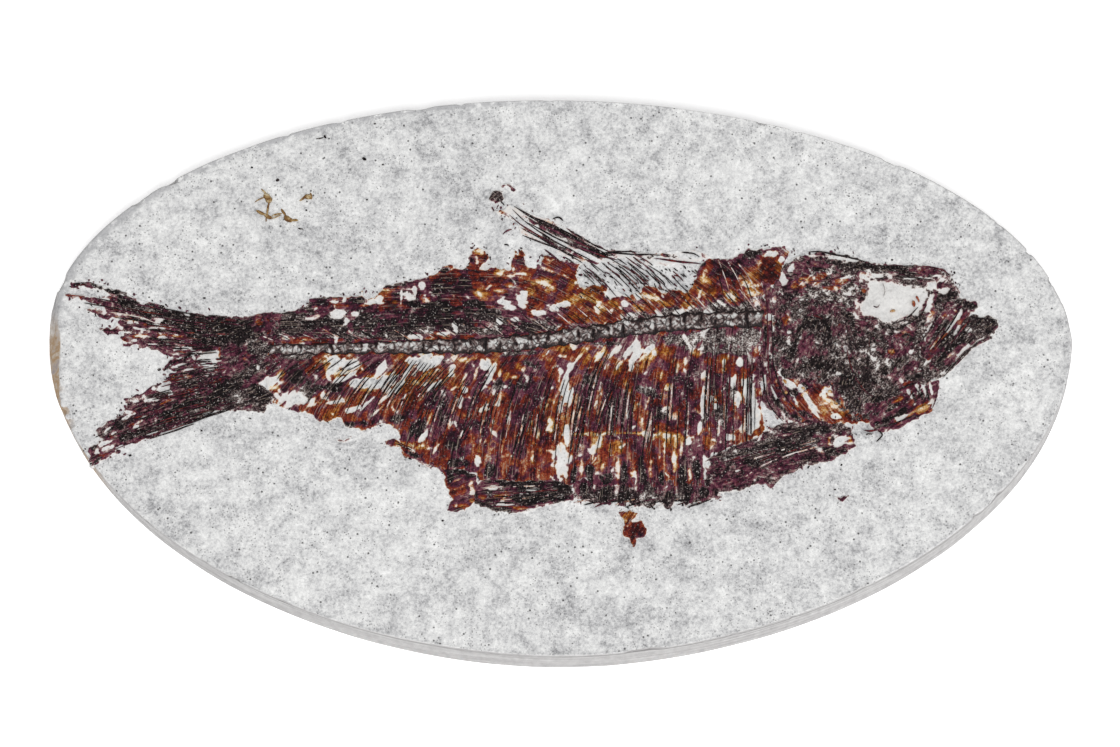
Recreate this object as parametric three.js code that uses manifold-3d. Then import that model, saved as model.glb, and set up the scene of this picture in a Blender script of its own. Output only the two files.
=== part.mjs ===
// A fossil herring bedded in the face of a hand-cut oval slab of pale limestone, 130 mm wide.
// Millimetres, +Z up. The slab lies on its back: the origin is the middle of its flat underside,
// +X runs from the tail to the head of the fish, and +Y from its belly to its back.
// Every bone and skin patch is its own closed solid, lying in low relief on the slab's face.
import * as THREE from "three";
import { mergeVertices } from "three/addons/utils/BufferGeometryUtils.js";
import Module from "manifold-3d";

const wasm = await Module();
wasm.setup();

// ---- Driving dimensions ----
const SLAB_HALF_WIDTH = 65;
const SLAB_HALF_HEIGHT = 36;
const SLAB_THICKNESS = 9.5;
const WIDEST_AT_Y = 4.4; // the oval is a little egg-shaped: its widest line is above the middle
const TOP_SKEW = 0.055; // how far the upper half leans towards the tail, per millimetre of height
const LOWER_FULLNESS = 1.9; // exponent of the lower half's curve: 2 would be a true ellipse
const UPPER_FULLNESS = 2;
const RIM_CHAMFER = 0.5; // the sawn edge is eased on both faces
const FACE_Z = SLAB_THICKNESS;

const SKIN_RELIEF = 0.3; // scale-covered skin over the flanks
const FIN_RELIEF = 0.4;
const BONE_RELIEF = 0.6;
const JAW_RELIEF = 0.8;
const LAPPED_RELIEF = 0.4; // a bone that lies on top of the skull plate

const VERTEBRA_COUNT = 32;
const VERTEBRA_PITCH = 1.95;
const FIRST_VERTEBRA_X = -35.6;
const VERTEBRA_GAP = 0.25;
const VERTEBRA_RELIEF = 0.7;
const BACKBONE_CLEARANCE = 0.3; // between the vertebrae and the skin on each side

// ---- Materials ----
const finish = (color, roughness) => new THREE.MeshStandardMaterial({ color, roughness, metalness: 0 });
const limestone = finish(0xd2d2cf, 0.9);
const skin = finish(0x4a1f1c, 0.5);
const darkBone = finish(0x2b2222, 0.5);
const paleBone = finish(0x8f8f8a, 0.55);
const amberSkin = finish(0x9a5f22, 0.55);

// ---- Helpers ----
// A closed three.js geometry as a manifold-3d solid.
function solidOf(geometry) {
  const bare = geometry.clone();
  bare.deleteAttribute("normal");
  bare.deleteAttribute("uv");
  const merged = mergeVertices(bare, 1e-4);
  return new wasm.Manifold(new wasm.Mesh({
    numProp: 3,
    vertProperties: new Float32Array(merged.attributes.position.array),
    triVerts: new Uint32Array(merged.index.array),
  }));
}

function geometryOf(solid) {
  const mesh = solid.getMesh();
  return new THREE.BufferGeometry()
    .setAttribute("position", new THREE.BufferAttribute(new Float32Array(mesh.vertProperties), 3))
    .setIndex(new THREE.BufferAttribute(new Uint32Array(mesh.triVerts), 1));
}

const pointsOf = (outline) => outline.map(([x, y]) => new THREE.Vector2(x, y));

// A plate of one height with a straight edge, cut to an outline.
function plate(outline, height) {
  return new THREE.ExtrudeGeometry(new THREE.Shape(pointsOf(outline)), {
    depth: height,
    bevelEnabled: false,
  });
}

// The same plate with an opening cut right through it.
function piercedPlate(outline, height, opening) {
  const cutter = plate(opening, height + 2);
  cutter.translate(0, 0, -1);
  return geometryOf(solidOf(plate(outline, height)).subtract(solidOf(cutter)));
}

function named(name, geometry, material, z = FACE_Z) {
  const mesh = new THREE.Mesh(geometry, material);
  mesh.name = name;
  mesh.position.z = z;
  return mesh;
}

// ---- Slab ----
// The oval: two half curves of the same width that meet on the widest line.
function ovalPoints(count) {
  return Array.from({ length: count }, (_, i) => {
    const angle = (2 * Math.PI * i) / count;
    const upper = Math.sin(angle) >= 0;
    const power = 2 / (upper ? UPPER_FULLNESS : LOWER_FULLNESS);
    const reach = upper ? SLAB_HALF_HEIGHT - WIDEST_AT_Y : SLAB_HALF_HEIGHT + WIDEST_AT_Y;
    const across = Math.sign(Math.cos(angle)) * Math.abs(Math.cos(angle)) ** power;
    const up = Math.sign(Math.sin(angle)) * Math.abs(Math.sin(angle)) ** power;
    const y = WIDEST_AT_Y + reach * up;
    const skew = upper ? TOP_SKEW * (y - WIDEST_AT_Y) : 0;
    return new THREE.Vector2((SLAB_HALF_WIDTH * across) - skew, y);
  });
}

// Worn places where the rim has flaked away: each is a tilted block that planes the edge off.
const RIM_FLAKES = [
  { x: -64.5, y: 0.5, length: 26, depth: 2.6, tilt: 52, heading: 92 },
  { x: -60.9, y: -13, length: 12, depth: 2, tilt: 56, heading: 118 },
];

function slab() {
  const body = new THREE.ExtrudeGeometry(new THREE.Shape(ovalPoints(120)), {
    depth: SLAB_THICKNESS - 2 * RIM_CHAMFER,
    bevelThickness: RIM_CHAMFER,
    bevelSize: RIM_CHAMFER,
    bevelOffset: -RIM_CHAMFER,
    bevelSegments: 1,
  });
  body.translate(0, 0, RIM_CHAMFER);
  let stone = solidOf(body);
  for (const flake of RIM_FLAKES) {
    const block = new THREE.BoxGeometry(flake.length, 8, 8);
    block.translate(0, -4, 0);
    block.rotateX(THREE.MathUtils.degToRad(-flake.tilt));
    block.rotateZ(THREE.MathUtils.degToRad(flake.heading - 180));
    block.translate(flake.x, flake.y, FACE_Z - flake.depth / 2);
    stone = stone.subtract(solidOf(block));
  }
  return named("slab", geometryOf(stone), limestone, 0);
}

// ---- Backbone ----
// The height of the backbone's middle line: level along the tail, rising towards the head.
function backboneY(x) {
  const rise = THREE.MathUtils.smoothstep(x, -12, 24);
  return 3.3 + 0.02 * (x + 38) * (1 - rise) + 4 * rise;
}

const vertebraHalfHeight = (x) => 0.55 + 0.35 * THREE.MathUtils.smoothstep(x, -38, 5);

// A spool seen from the side: two wide ends and a narrow waist.
function vertebra(index) {
  const x = FIRST_VERTEBRA_X + index * VERTEBRA_PITCH;
  const half = (VERTEBRA_PITCH - VERTEBRA_GAP) / 2;
  const end = vertebraHalfHeight(x);
  const waist = end * 0.6;
  const right = [[half, -end], [half, end], [half * 0.6, end * 0.92], [0, waist]];
  const outline = [...right, ...right.map(([u, v]) => [-u, -v])];
  outline[7] = [0, -waist];
  const body = plate(outline, VERTEBRA_RELIEF);
  const slope = (backboneY(x + 0.5) - backboneY(x - 0.5));
  body.rotateZ(Math.atan(slope));
  body.translate(x, backboneY(x), 0);
  return named(`vertebra_${String(index + 1).padStart(2, "0")}`, body, paleBone);
}

// The line that the skin keeps to beside the vertebrae, above (side 1) or below (side -1) them.
function alongBackbone(from, to, side) {
  const steps = 9;
  return Array.from({ length: steps + 1 }, (_, i) => {
    const x = from + ((to - from) * i) / steps;
    return [x, backboneY(x) + side * (vertebraHalfHeight(x) + BACKBONE_CLEARANCE)];
  });
}

// ---- Skin patches ----
const BACK_EDGE = [
  [-36.6, 7.9], [-33.6, 8.3], [-32, 9.8], [-27, 10.2], [-23, 10.4], [-21.5, 11.7], [-17, 12.4],
  [-15, 13.8], [-11.3, 14.2], [-10.9, 16.3], [-9.8, 16.5], [-8.4, 14.2], [-5.6, 14], [-4.8, 16],
  [-4.2, 14], [-1, 14.6], [3, 13.2], [5.5, 11], [8, 9.6], [11, 10.2], [15.5, 10.4], [17.3, 11.5],
  [17.6, 14.6], [22.4, 15.2], [23.6, 16.3], [28.4, 16.4], [28.8, 14.5], [27.4, 12.4], [26, 11.4],
];
const BELLY_EDGE = [
  [25.4, -5], [25.2, -7.8], [22, -9.4], [18.9, -10.4], [18.4, -13.8], [10, -14.1], [1.4, -13.6],
  [-6, -13.4], [-9.6, -12.2], [-14.2, -11.9], [-14.3, -10.4], [-17, -8.9], [-19.7, -7.9],
  [-20.6, -6.1], [-26.6, -6.6], [-27.6, -4.6], [-29.6, -5.7], [-33, -4.1], [-32.6, -2.2], [-36, 0.6],
];

function skinPatches() {
  const back = [...BACK_EDGE, ...alongBackbone(25.9, -36.4, 1)];
  const belly = [...alongBackbone(-36.4, 25.7, -1), ...BELLY_EDGE];
  const vent = [
    [-14.8, -12.5], [-10.5, -12.7], [-10.1, -14], [-10.4, -16.1], [-11.8, -17.1], [-13.9, -17],
    [-14.3, -15], [-14.6, -13.6],
  ];
  const throat = [[32, -1.4], [34.6, -1.1], [35.4, -4], [37, -5.7], [34, -5.5], [32.6, -3.4]];
  return [
    named("back_scales", plate(back, SKIN_RELIEF), skin),
    named("belly_scales", plate(belly, SKIN_RELIEF), skin),
    named("vent_scales", plate(vent, SKIN_RELIEF), skin),
    named("throat_scales", plate(throat, SKIN_RELIEF), amberSkin),
  ];
}

// ---- Tail and fins ----
function fins() {
  const tailRoot = [
    [-37, 7.8], [-40.6, 7.3], [-42.6, 5], [-43.4, 3.6], [-42.8, 2], [-43.4, 0], [-42.4, -1.6],
    [-41, -4.2], [-38, -4.6], [-36.8, -3.2], [-37.4, -1], [-36.7, 0.8], [-37.2, 3.2],
  ];
  const upperLobe = [
    [-41, 7.4], [-46, 8.1], [-50, 8.8], [-54, 10.2], [-58, 11.6], [-60, 12.2], [-62, 12.1],
    [-62.6, 10.4], [-60, 9.7], [-58.2, 8.2], [-57.6, 6.2], [-55, 5.4], [-55, 4.3], [-50, 3.2],
    [-46, 3.7], [-43.8, 3.9], [-43, 5.2],
  ];
  const lowerLobe = [
    [-43.8, 0.1], [-44.4, 2], [-48.6, 2.4], [-50.6, 0.4], [-51.4, -1.6], [-54.6, -3.2], [-55.4, -5.4],
    [-58, -6.2], [-58.9, -9.2], [-58.4, -10.9], [-57.6, -10.9], [-54, -9.2], [-50, -7.2], [-46, -5.5],
    [-41.5, -4.5], [-42.8, -1.5],
  ];
  const dorsal = [
    [-8.4, 21.4], [-6.2, 22.4], [-3.6, 21.2], [-1.4, 20.3], [2, 18.6], [6, 16.4], [12, 16.1],
    [17, 16.4], [19.6, 15.6], [17.4, 15.2], [12, 14.2], [7.4, 14.6], [4, 14.8], [1, 15.4], [-1, 16.6],
    [-4.8, 18.3], [-5.2, 19.6],
  ];
  const anal = [[-21.6, -8.3], [-17, -9.3], [-14.7, -10.8], [-14.7, -12.1], [-17, -11.2], [-19.6, -10.1]];
  const pelvic = [
    [-9.9, -13.9], [-6, -13.9], [0.6, -14], [1.9, -14.5], [1.2, -16], [-3, -17.2], [-6, -17.6],
    [-8.5, -16.8], [-9.8, -15.6],
  ];
  const pectoral = [
    [19.2, -10.8], [22, -9.8], [25.6, -8.4], [27, -6.2], [30, -6], [33, -6.1], [35.4, -6.4],
    [37, -7.6], [37.5, -9.2], [35, -10.2], [32, -11], [29.2, -12.1], [27, -14.2], [26.2, -12.5],
    [24, -13.1], [21, -14.6], [18.8, -14.4],
  ];
  const eyelet = Array.from({ length: 10 }, (_, i) => {
    const angle = (2 * Math.PI * i) / 10;
    return [35.3 + 1.15 * Math.cos(angle), -8.2 + 1.05 * Math.sin(angle)];
  });
  return [
    named("tail_root", plate(tailRoot, BONE_RELIEF), darkBone),
    named("tail_upper_lobe", plate(upperLobe, FIN_RELIEF), darkBone),
    named("tail_lower_lobe", plate(lowerLobe, FIN_RELIEF), darkBone),
    named("dorsal_fin", plate(dorsal, FIN_RELIEF), darkBone),
    named("anal_fin", plate(anal, FIN_RELIEF), darkBone),
    named("pelvic_fin", plate(pelvic, FIN_RELIEF), darkBone),
    named("pectoral_fin", piercedPlate(pectoral, BONE_RELIEF, eyelet), darkBone),
  ];
}

// The row of small keeled scutes that stiffens a herring's belly.
function bellyKeel() {
  const keel = [
    [2.3, -14.4], [10, -14.6], [18.2, -14.8], [20.2, -15], [19.6, -15.5], [14, -16.5], [8, -16.4],
    [2, -16.1],
  ];
  return named("belly_keel", plate(keel, FIN_RELIEF), darkBone);
}

// ---- Head ----
function headBones() {
  const skull = [
    [29.6, 15.2], [32.5, 15.9], [35.4, 15.4], [38.2, 14.5], [46, 14.1], [49.6, 13.4], [50, 12],
    [50.8, 10.8], [50.2, 9.6], [48.3, 8.1], [46.6, 6.2], [45.2, 4.2], [42, 3.8], [39.4, 4.7],
    [37, 6], [36.2, 9.2], [34.9, 10.2], [31, 9.9], [28.4, 9.2], [27.8, 11.6],
  ];
  const orbit = [
    [38.1, 9], [38.2, 11.6], [39.4, 13], [43.6, 12.1], [46.4, 11.9], [46.2, 9.6], [45.4, 8],
    [42.4, 6.7], [40.6, 7],
  ];
  const gillCover = [
    [28.2, 8.8], [31, 9.5], [34.6, 8.6], [35.8, 6], [36.8, 2.6], [37.7, -1], [37, -4], [35.7, -3.4],
    [34.8, -0.7], [32, -0.4], [29.6, 0.1], [28.1, 1.4], [27.7, 5],
  ];
  const cheek = [
    [37.2, 5.4], [39.6, 4.3], [42.2, 3.4], [45.2, 3.8], [47.4, 0.3], [46, -0.4], [44, -0.7],
    [41.6, -3.4], [39.4, -5.3], [37.2, -5.3], [38.2, -3.6], [38.3, -0.8], [37.4, 2.6],
  ];
  const throatRays = [
    [42.2, -3.3], [44.3, -1.1], [47.7, -1], [47.5, -3.4], [46.8, -4.7], [44, -5.7], [41.2, -7],
    [39.6, -6.2], [40, -5.4],
  ];
  const upperJaw = [
    [46.9, 5.9], [48.6, 7.8], [50.6, 9.3], [52.8, 9.4], [53.2, 8.8], [51.9, 8], [50, 5.6], [48.2, 3.2],
    [46.6, 2.2], [45.7, 3.9],
  ];
  const lowerJaw = [
    [47, 1.6], [48.4, 2.9], [50.4, 5.3], [52.4, 7.7], [54.4, 7.7], [55.6, 7.1], [55.4, 6],
    [54.6, 5.2], [53, 4.8], [51.2, 3.7], [48.9, 1.1], [47.9, 0.6],
  ];
  const throatPlate = [[48.3, 0], [49.3, 1], [51.4, 3.3], [53.2, 4.5], [54.6, 4.7], [53.2, 4], [50, 1.2]];
  const shoulder = [
    [26.2, 7.6], [27.3, 7.8], [27.1, 3], [27.5, 0.7], [28.4, -1.8], [29.8, -4.4], [31.8, -5.5],
    [28.6, -5.5], [26.6, -3], [25.9, 0], [26.1, 3],
  ];
  return [
    named("skull", piercedPlate(skull, BONE_RELIEF, orbit), darkBone),
    named("gill_cover", plate(gillCover, JAW_RELIEF), darkBone),
    named("cheek_bone", plate(cheek, BONE_RELIEF), darkBone),
    named("throat_rays", plate(throatRays, FIN_RELIEF), skin),
    named("upper_jaw", plate(upperJaw, JAW_RELIEF), darkBone),
    named("lower_jaw", plate(lowerJaw, JAW_RELIEF), darkBone),
    named("throat_plate", plate(throatPlate, FIN_RELIEF), darkBone),
    named("shoulder_bone", plate(shoulder, JAW_RELIEF), darkBone),
  ];
}

// ---- Strays: scales and splinters that drifted off the body before it was buried ----
function strays() {
  const redScale = [
    [8.2, -18], [9.2, -17.5], [10.1, -17.7], [9.6, -18.4], [10.9, -18.7], [11.2, -19.6], [10.6, -20.9],
    [9.6, -21.5], [8.6, -20.6], [8.3, -19.2],
  ];
  const finScale = [[-8.7, 23.6], [-8.1, 24.1], [-7.2, 23.9], [-7, 22.9], [-7.6, 22.5], [-8.6, 22.6]];
  const finSplinter = [[-7.4, 24.8], [-6.3, 24.7], [-5.5, 23.9], [-5.9, 23.8], [-6.6, 24.3]];
  const throatSplinter = [[34.8, -15.6], [36.6, -15.5], [36, -16.3], [35.2, -16.2]];
  const tailSplinter = [[-28, -8.2], [-26, -7.8], [-26.2, -8.3], [-27.6, -8.6]];
  const ochreScrap = [
    [-38, 21.2], [-36.6, 21], [-36.6, 22], [-37.4, 23.8], [-36.9, 23.9], [-35.9, 22.2], [-36, 21],
    [-35.2, 21.3], [-34.2, 20.7], [-33.2, 20.2], [-33.6, 19.6], [-35, 20.3], [-36.6, 20],
  ];
  const ochreChip = [[-32.9, 22.5], [-32.2, 23.3], [-31.3, 23.6], [-31.3, 22.8], [-32.2, 22.8]];
  return [
    named("stray_red_scale", plate(redScale, SKIN_RELIEF), skin),
    named("stray_fin_scale", plate(finScale, SKIN_RELIEF), darkBone),
    named("stray_fin_splinter", plate(finSplinter, SKIN_RELIEF), darkBone),
    named("stray_throat_splinter", plate(throatSplinter, SKIN_RELIEF), darkBone),
    named("stray_tail_splinter", plate(tailSplinter, SKIN_RELIEF), darkBone),
    named("stray_ochre_scrap", plate(ochreScrap, SKIN_RELIEF), amberSkin),
    named("stray_ochre_chip", plate(ochreChip, SKIN_RELIEF), amberSkin),
  ];
}

// ---- Assembly ----
const fossil = new THREE.Group();
fossil.add(slab());
for (let i = 0; i < VERTEBRA_COUNT; i += 1) {
  fossil.add(vertebra(i));
}
fossil.add(...skinPatches(), ...fins(), bellyKeel(), ...headBones(), ...strays());

export default fossil;
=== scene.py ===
import math

import bmesh
import bpy
import numpy as np
from mathutils import Matrix, Vector


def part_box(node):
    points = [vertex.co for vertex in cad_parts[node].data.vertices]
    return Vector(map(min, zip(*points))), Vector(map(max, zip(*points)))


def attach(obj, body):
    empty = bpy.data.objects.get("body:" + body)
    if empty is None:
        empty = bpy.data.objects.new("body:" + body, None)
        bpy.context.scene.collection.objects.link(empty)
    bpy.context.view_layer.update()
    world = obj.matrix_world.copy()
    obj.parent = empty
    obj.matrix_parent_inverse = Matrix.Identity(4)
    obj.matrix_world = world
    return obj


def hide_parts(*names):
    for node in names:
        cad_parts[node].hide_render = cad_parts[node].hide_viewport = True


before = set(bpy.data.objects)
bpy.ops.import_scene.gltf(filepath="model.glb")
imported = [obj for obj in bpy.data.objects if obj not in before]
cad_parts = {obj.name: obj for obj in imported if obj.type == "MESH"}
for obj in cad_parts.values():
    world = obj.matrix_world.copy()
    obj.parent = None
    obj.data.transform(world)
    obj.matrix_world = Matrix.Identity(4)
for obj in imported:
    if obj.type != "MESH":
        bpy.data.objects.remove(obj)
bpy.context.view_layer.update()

# ---- Camera ----
# The camera looks down on the slab from a little in front and to the right of it, with the fish's length
# level across the picture, from far enough away that the oval keeps its true shape.
MM = 0.001
slab_low, slab_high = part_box("slab")
face_z = slab_high.z / MM  # the height of the slab's face, in millimetres like every length below
ELEVATION = math.radians(78.5)
AZIMUTH = math.radians(8)
DISTANCE = 900
FOCAL_LENGTH = 228.8
AIM = (0.19, 0.32)
toward_camera = Vector((
    math.sin(AZIMUTH) * math.cos(ELEVATION),
    -math.cos(AZIMUTH) * math.cos(ELEVATION),
    math.sin(ELEVATION),
))
picture_right = (Vector((1, 0, 0)) - toward_camera * toward_camera.x).normalized()
picture_up = toward_camera.cross(picture_right)
camera_data = bpy.data.cameras.new("camera")
camera_data.sensor_width = 36
camera_data.lens = FOCAL_LENGTH
camera_data.clip_end = 10
camera = bpy.data.objects.new("camera", camera_data)
turn = Matrix((picture_right, picture_up, toward_camera)).transposed().to_4x4()
aim = Vector((*AIM, face_z))
camera.matrix_world = Matrix.Translation((aim + toward_camera * DISTANCE) * MM) @ turn
bpy.context.scene.collection.objects.link(camera)
bpy.context.scene.camera = camera
bpy.context.scene.view_settings.view_transform = "Standard"

# ---- Studio ----
# A plain white light table in a white room, with a lamp overhead and a little in front, and a weaker one
# low on the right.
world = bpy.data.worlds.new("white_room")
world.use_nodes = True
world.node_tree.nodes["Background"].inputs["Color"].default_value = (1, 1, 1, 1)
world.node_tree.nodes["Background"].inputs["Strength"].default_value = 0.5
bpy.context.scene.world = world


def lamp(name, place, size, power):
    light = bpy.data.lights.new(name, "AREA")
    light.size = size
    light.energy = power
    holder = bpy.data.objects.new(name, light)
    holder.location = place
    holder.rotation_euler = (-Vector(place)).to_track_quat("-Z", "Y").to_euler()
    bpy.context.scene.collection.objects.link(holder)


lamp("front_lamp", (0.02, -0.32, 1.0), 0.2, 6.2)
lamp("side_lamp", (0.7, -0.5, 0.6), 0.4, 2.2)


class Wire:
    """One output of a shader node, so that masks and heights add and multiply like plain numbers."""

    def __init__(self, tree, socket=None):
        self.tree = tree
        self.socket = socket

    def node(self, kind, settings, sockets, output=0):
        """Adds a node: its settings first, then the values or wires of its sockets."""
        made = self.tree.nodes.new(kind)
        for key, setting in settings.items():
            if key == "stops":
                ramp = made.color_ramp
                while len(ramp.elements) < len(setting):
                    ramp.elements.new(1)
                for stop, (position, color) in zip(ramp.elements, setting):
                    stop.position = position
                    stop.color = (*color, 1)
            else:
                setattr(made, key, setting)
        for key, given in sockets.items():
            if isinstance(given, Wire):
                self.tree.links.new(given.socket, made.inputs[key])
            else:
                made.inputs[key].default_value = given
        return Wire(self.tree, made.outputs[output])

    def maths(self, operation, *values):
        return self.node("ShaderNodeMath", {"operation": operation}, dict(enumerate(values)))

    def __add__(self, other):
        return self.maths("ADD", self, other)

    __radd__ = __add__

    def __sub__(self, other):
        return self.maths("SUBTRACT", self, other)

    def __rsub__(self, other):
        return self.maths("SUBTRACT", other, self)

    def __mul__(self, other):
        return self.maths("MULTIPLY", self, other)

    __rmul__ = __mul__

    def between(self, low, high):
        """0 below low, 1 above high, and a smooth step from one to the other."""
        limits = {"From Min": low, "From Max": high, "Value": self}
        return self.node("ShaderNodeMapRange", {"interpolation_type": "SMOOTHSTEP"}, limits)

    def blend(self, first, second):
        """The first colour where this is 0, the second where it is 1."""
        ends = [c if isinstance(c, Wire) else (*c, 1) for c in (first, second)]
        sockets = {0: self, 6: ends[0], 7: ends[1]}
        return self.node("ShaderNodeMix", {"data_type": "RGBA"}, sockets, 2)


def srgb(*levels):
    """A colour given in screen levels, as the light it stands for."""
    return tuple((v / 255 / 12.92) if v < 10 else ((v / 255 + 0.055) / 1.055) ** 2.4 for v in levels)


def finish(material, color, roughness, height=None, bump=0.0):
    """Fills in a material's shader and gives the material back."""
    tree = material.node_tree
    shader = tree.nodes["Principled BSDF"]
    tree.links.new(color.socket, shader.inputs["Base Color"])
    if isinstance(roughness, Wire):
        tree.links.new(roughness.socket, shader.inputs["Roughness"])
    else:
        shader.inputs["Roughness"].default_value = roughness
    if height:
        normal = height.node("ShaderNodeBump", {}, {"Height": height, "Strength": 1, "Distance": bump * MM})
        tree.links.new(normal.socket, shader.inputs["Normal"])
    return material


def new_material(name):
    """A new material, and the wire that its first nodes are added from."""
    material = bpy.data.materials.new(name)
    material.use_nodes = True
    return material, Wire(material.node_tree)


def speckle(start, place, size, detail=2, roughness=0.5):
    """Smooth random shading whose spots are about size millimetres across."""
    sockets = {"Vector": place, "Scale": 1 / (size * MM), "Detail": detail, "Roughness": roughness}
    return start.node("ShaderNodeTexNoise", {}, sockets)


table_top, start = new_material("table_top")
place = start.node("ShaderNodeTexCoord", {}, {}, "Object")
grainy = speckle(start, place, 2)
finish(table_top, grainy.blend((0.965, 0.965, 0.965), (0.98, 0.98, 0.98)), 0.8)
glow = table_top.node_tree.nodes["Principled BSDF"]
glow.inputs["Emission Color"].default_value = (1, 1, 1, 1)
glow.inputs["Emission Strength"].default_value = 0.35
sheet = bmesh.new()
bmesh.ops.create_grid(sheet, x_segments=2, y_segments=2, size=1.5)
table_mesh = bpy.data.meshes.new("table")
sheet.to_mesh(table_mesh)
table_mesh.materials.append(table_top)
table = bpy.data.objects.new("table", table_mesh)
bpy.context.scene.collection.objects.link(table)

# ---- Slab ----
# One plate of pale grey limestone, sawn to an oval and ground smooth round the side, where its fine beds
# show as faint lines. The face is as it split: finely mottled, with dark grains. Its left rim is worn back
# and stained with ochre.
INSET = 0.9985  # keeps the slab just inside its box
HALF_WIDTH = (slab_high.x - slab_low.x) / 2 / MM * INSET
HALF_HEIGHT = (slab_high.y - slab_low.y) / 2 / MM * INSET
WIDEST_AT_Y = 4.4
TOP_SKEW = 0.055
LOWER_FULLNESS = 1.9
RIM_ROUND = 0.45
MEAN_RADIUS = 52  # turns angles into lengths round the rim
WEAR_PLANES = ((-63.1, 0.5, 50, 182), (-58.6, -14.2, 56, 211))  # (x, y, tilt, heading)

lattice = np.random.default_rng(11).random((257, 257)) * 2 - 1


def cloud(u, v, size_u, size_v=None, seed=0):
    """Smooth random values from -1 to 1 over a plane, with swells about size_u by size_v across."""
    a, b = u / size_u, v / (size_v or size_u)
    a, b = a + 0.4 * np.sin(1.9 * b + seed), b + 0.4 * np.sin(2.3 * a + 2 * seed)
    if size_v is None:
        a, b = 0.84 * a - 0.54 * b, 0.54 * a + 0.84 * b
    a, b = a + 31.7 * seed + 200, b + 17.3 * seed + 200
    i, j = np.floor(a).astype(int), np.floor(b).astype(int)
    f, g = a - i, b - j
    f, g = f * f * (3 - 2 * f), g * g * (3 - 2 * g)
    i, j = i % 256, j % 256
    low = lattice[i, j] * (1 - f) + lattice[i + 1, j] * f
    high = lattice[i, j + 1] * (1 - f) + lattice[i + 1, j + 1] * f
    return low * (1 - g) + high * g


def coordinates(mesh):
    """A mesh's points in millimetres, one row each."""
    points = np.zeros(len(mesh.vertices) * 3, np.float32)
    mesh.vertices.foreach_get("co", points)
    return points.reshape(-1, 3).astype(float) / MM


def close_seams(mesh):
    """Joins points that lie on each other and turns every face outwards."""
    joined = bmesh.new()
    joined.from_mesh(mesh)
    bmesh.ops.remove_doubles(joined, verts=joined.verts, dist=0.002 * MM)
    bmesh.ops.dissolve_degenerate(joined, edges=joined.edges, dist=0.001 * MM)
    bmesh.ops.recalc_face_normals(joined, faces=joined.faces)
    joined.to_mesh(mesh)
    joined.free()


def build(name, shape, move):
    """Turns a bmesh in millimetres into an object. move takes its points and gives back new ones and its
    attributes, by name."""
    mesh = bpy.data.meshes.new(name)
    bmesh.ops.scale(shape, vec=(MM, MM, MM), verts=shape.verts)
    shape.to_mesh(mesh)
    shape.free()
    points, attributes = move(coordinates(mesh))
    mesh.vertices.foreach_set("co", (points * MM).astype(np.float32).ravel())
    for key, values in attributes.items():
        wide = values.ndim == 2
        layer = mesh.attributes.new(key, "FLOAT_VECTOR" if wide else "FLOAT", "POINT")
        layer.data.foreach_set("vector" if wide else "value", values.astype(np.float32).ravel())
    mesh.update()
    close_seams(mesh)
    mesh.shade_smooth()
    piece = bpy.data.objects.new(name, mesh)
    bpy.context.scene.collection.objects.link(piece)
    return piece


def slab_profile():
    """Half the slab's section, with a radius of 1: the face, the rounded rim, the side and the back."""
    face = [(r, face_z) for r in np.linspace(0, 0.992, 100)]
    rim = [(0.993 + 0.007 * math.sin(a), face_z - RIM_ROUND * (1 - math.cos(a)))
           for a in np.linspace(0.25, math.pi / 2, 6)]
    side = [(1, z) for z in np.linspace(face_z - RIM_ROUND - 0.3, 0.7, 20)]
    back = [(0.998, 0.3), (0.994, 0.08), (0.988, 0), (0.9, 0), (0.5, 0), (0, 0)]
    return face + rim + side + back


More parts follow.
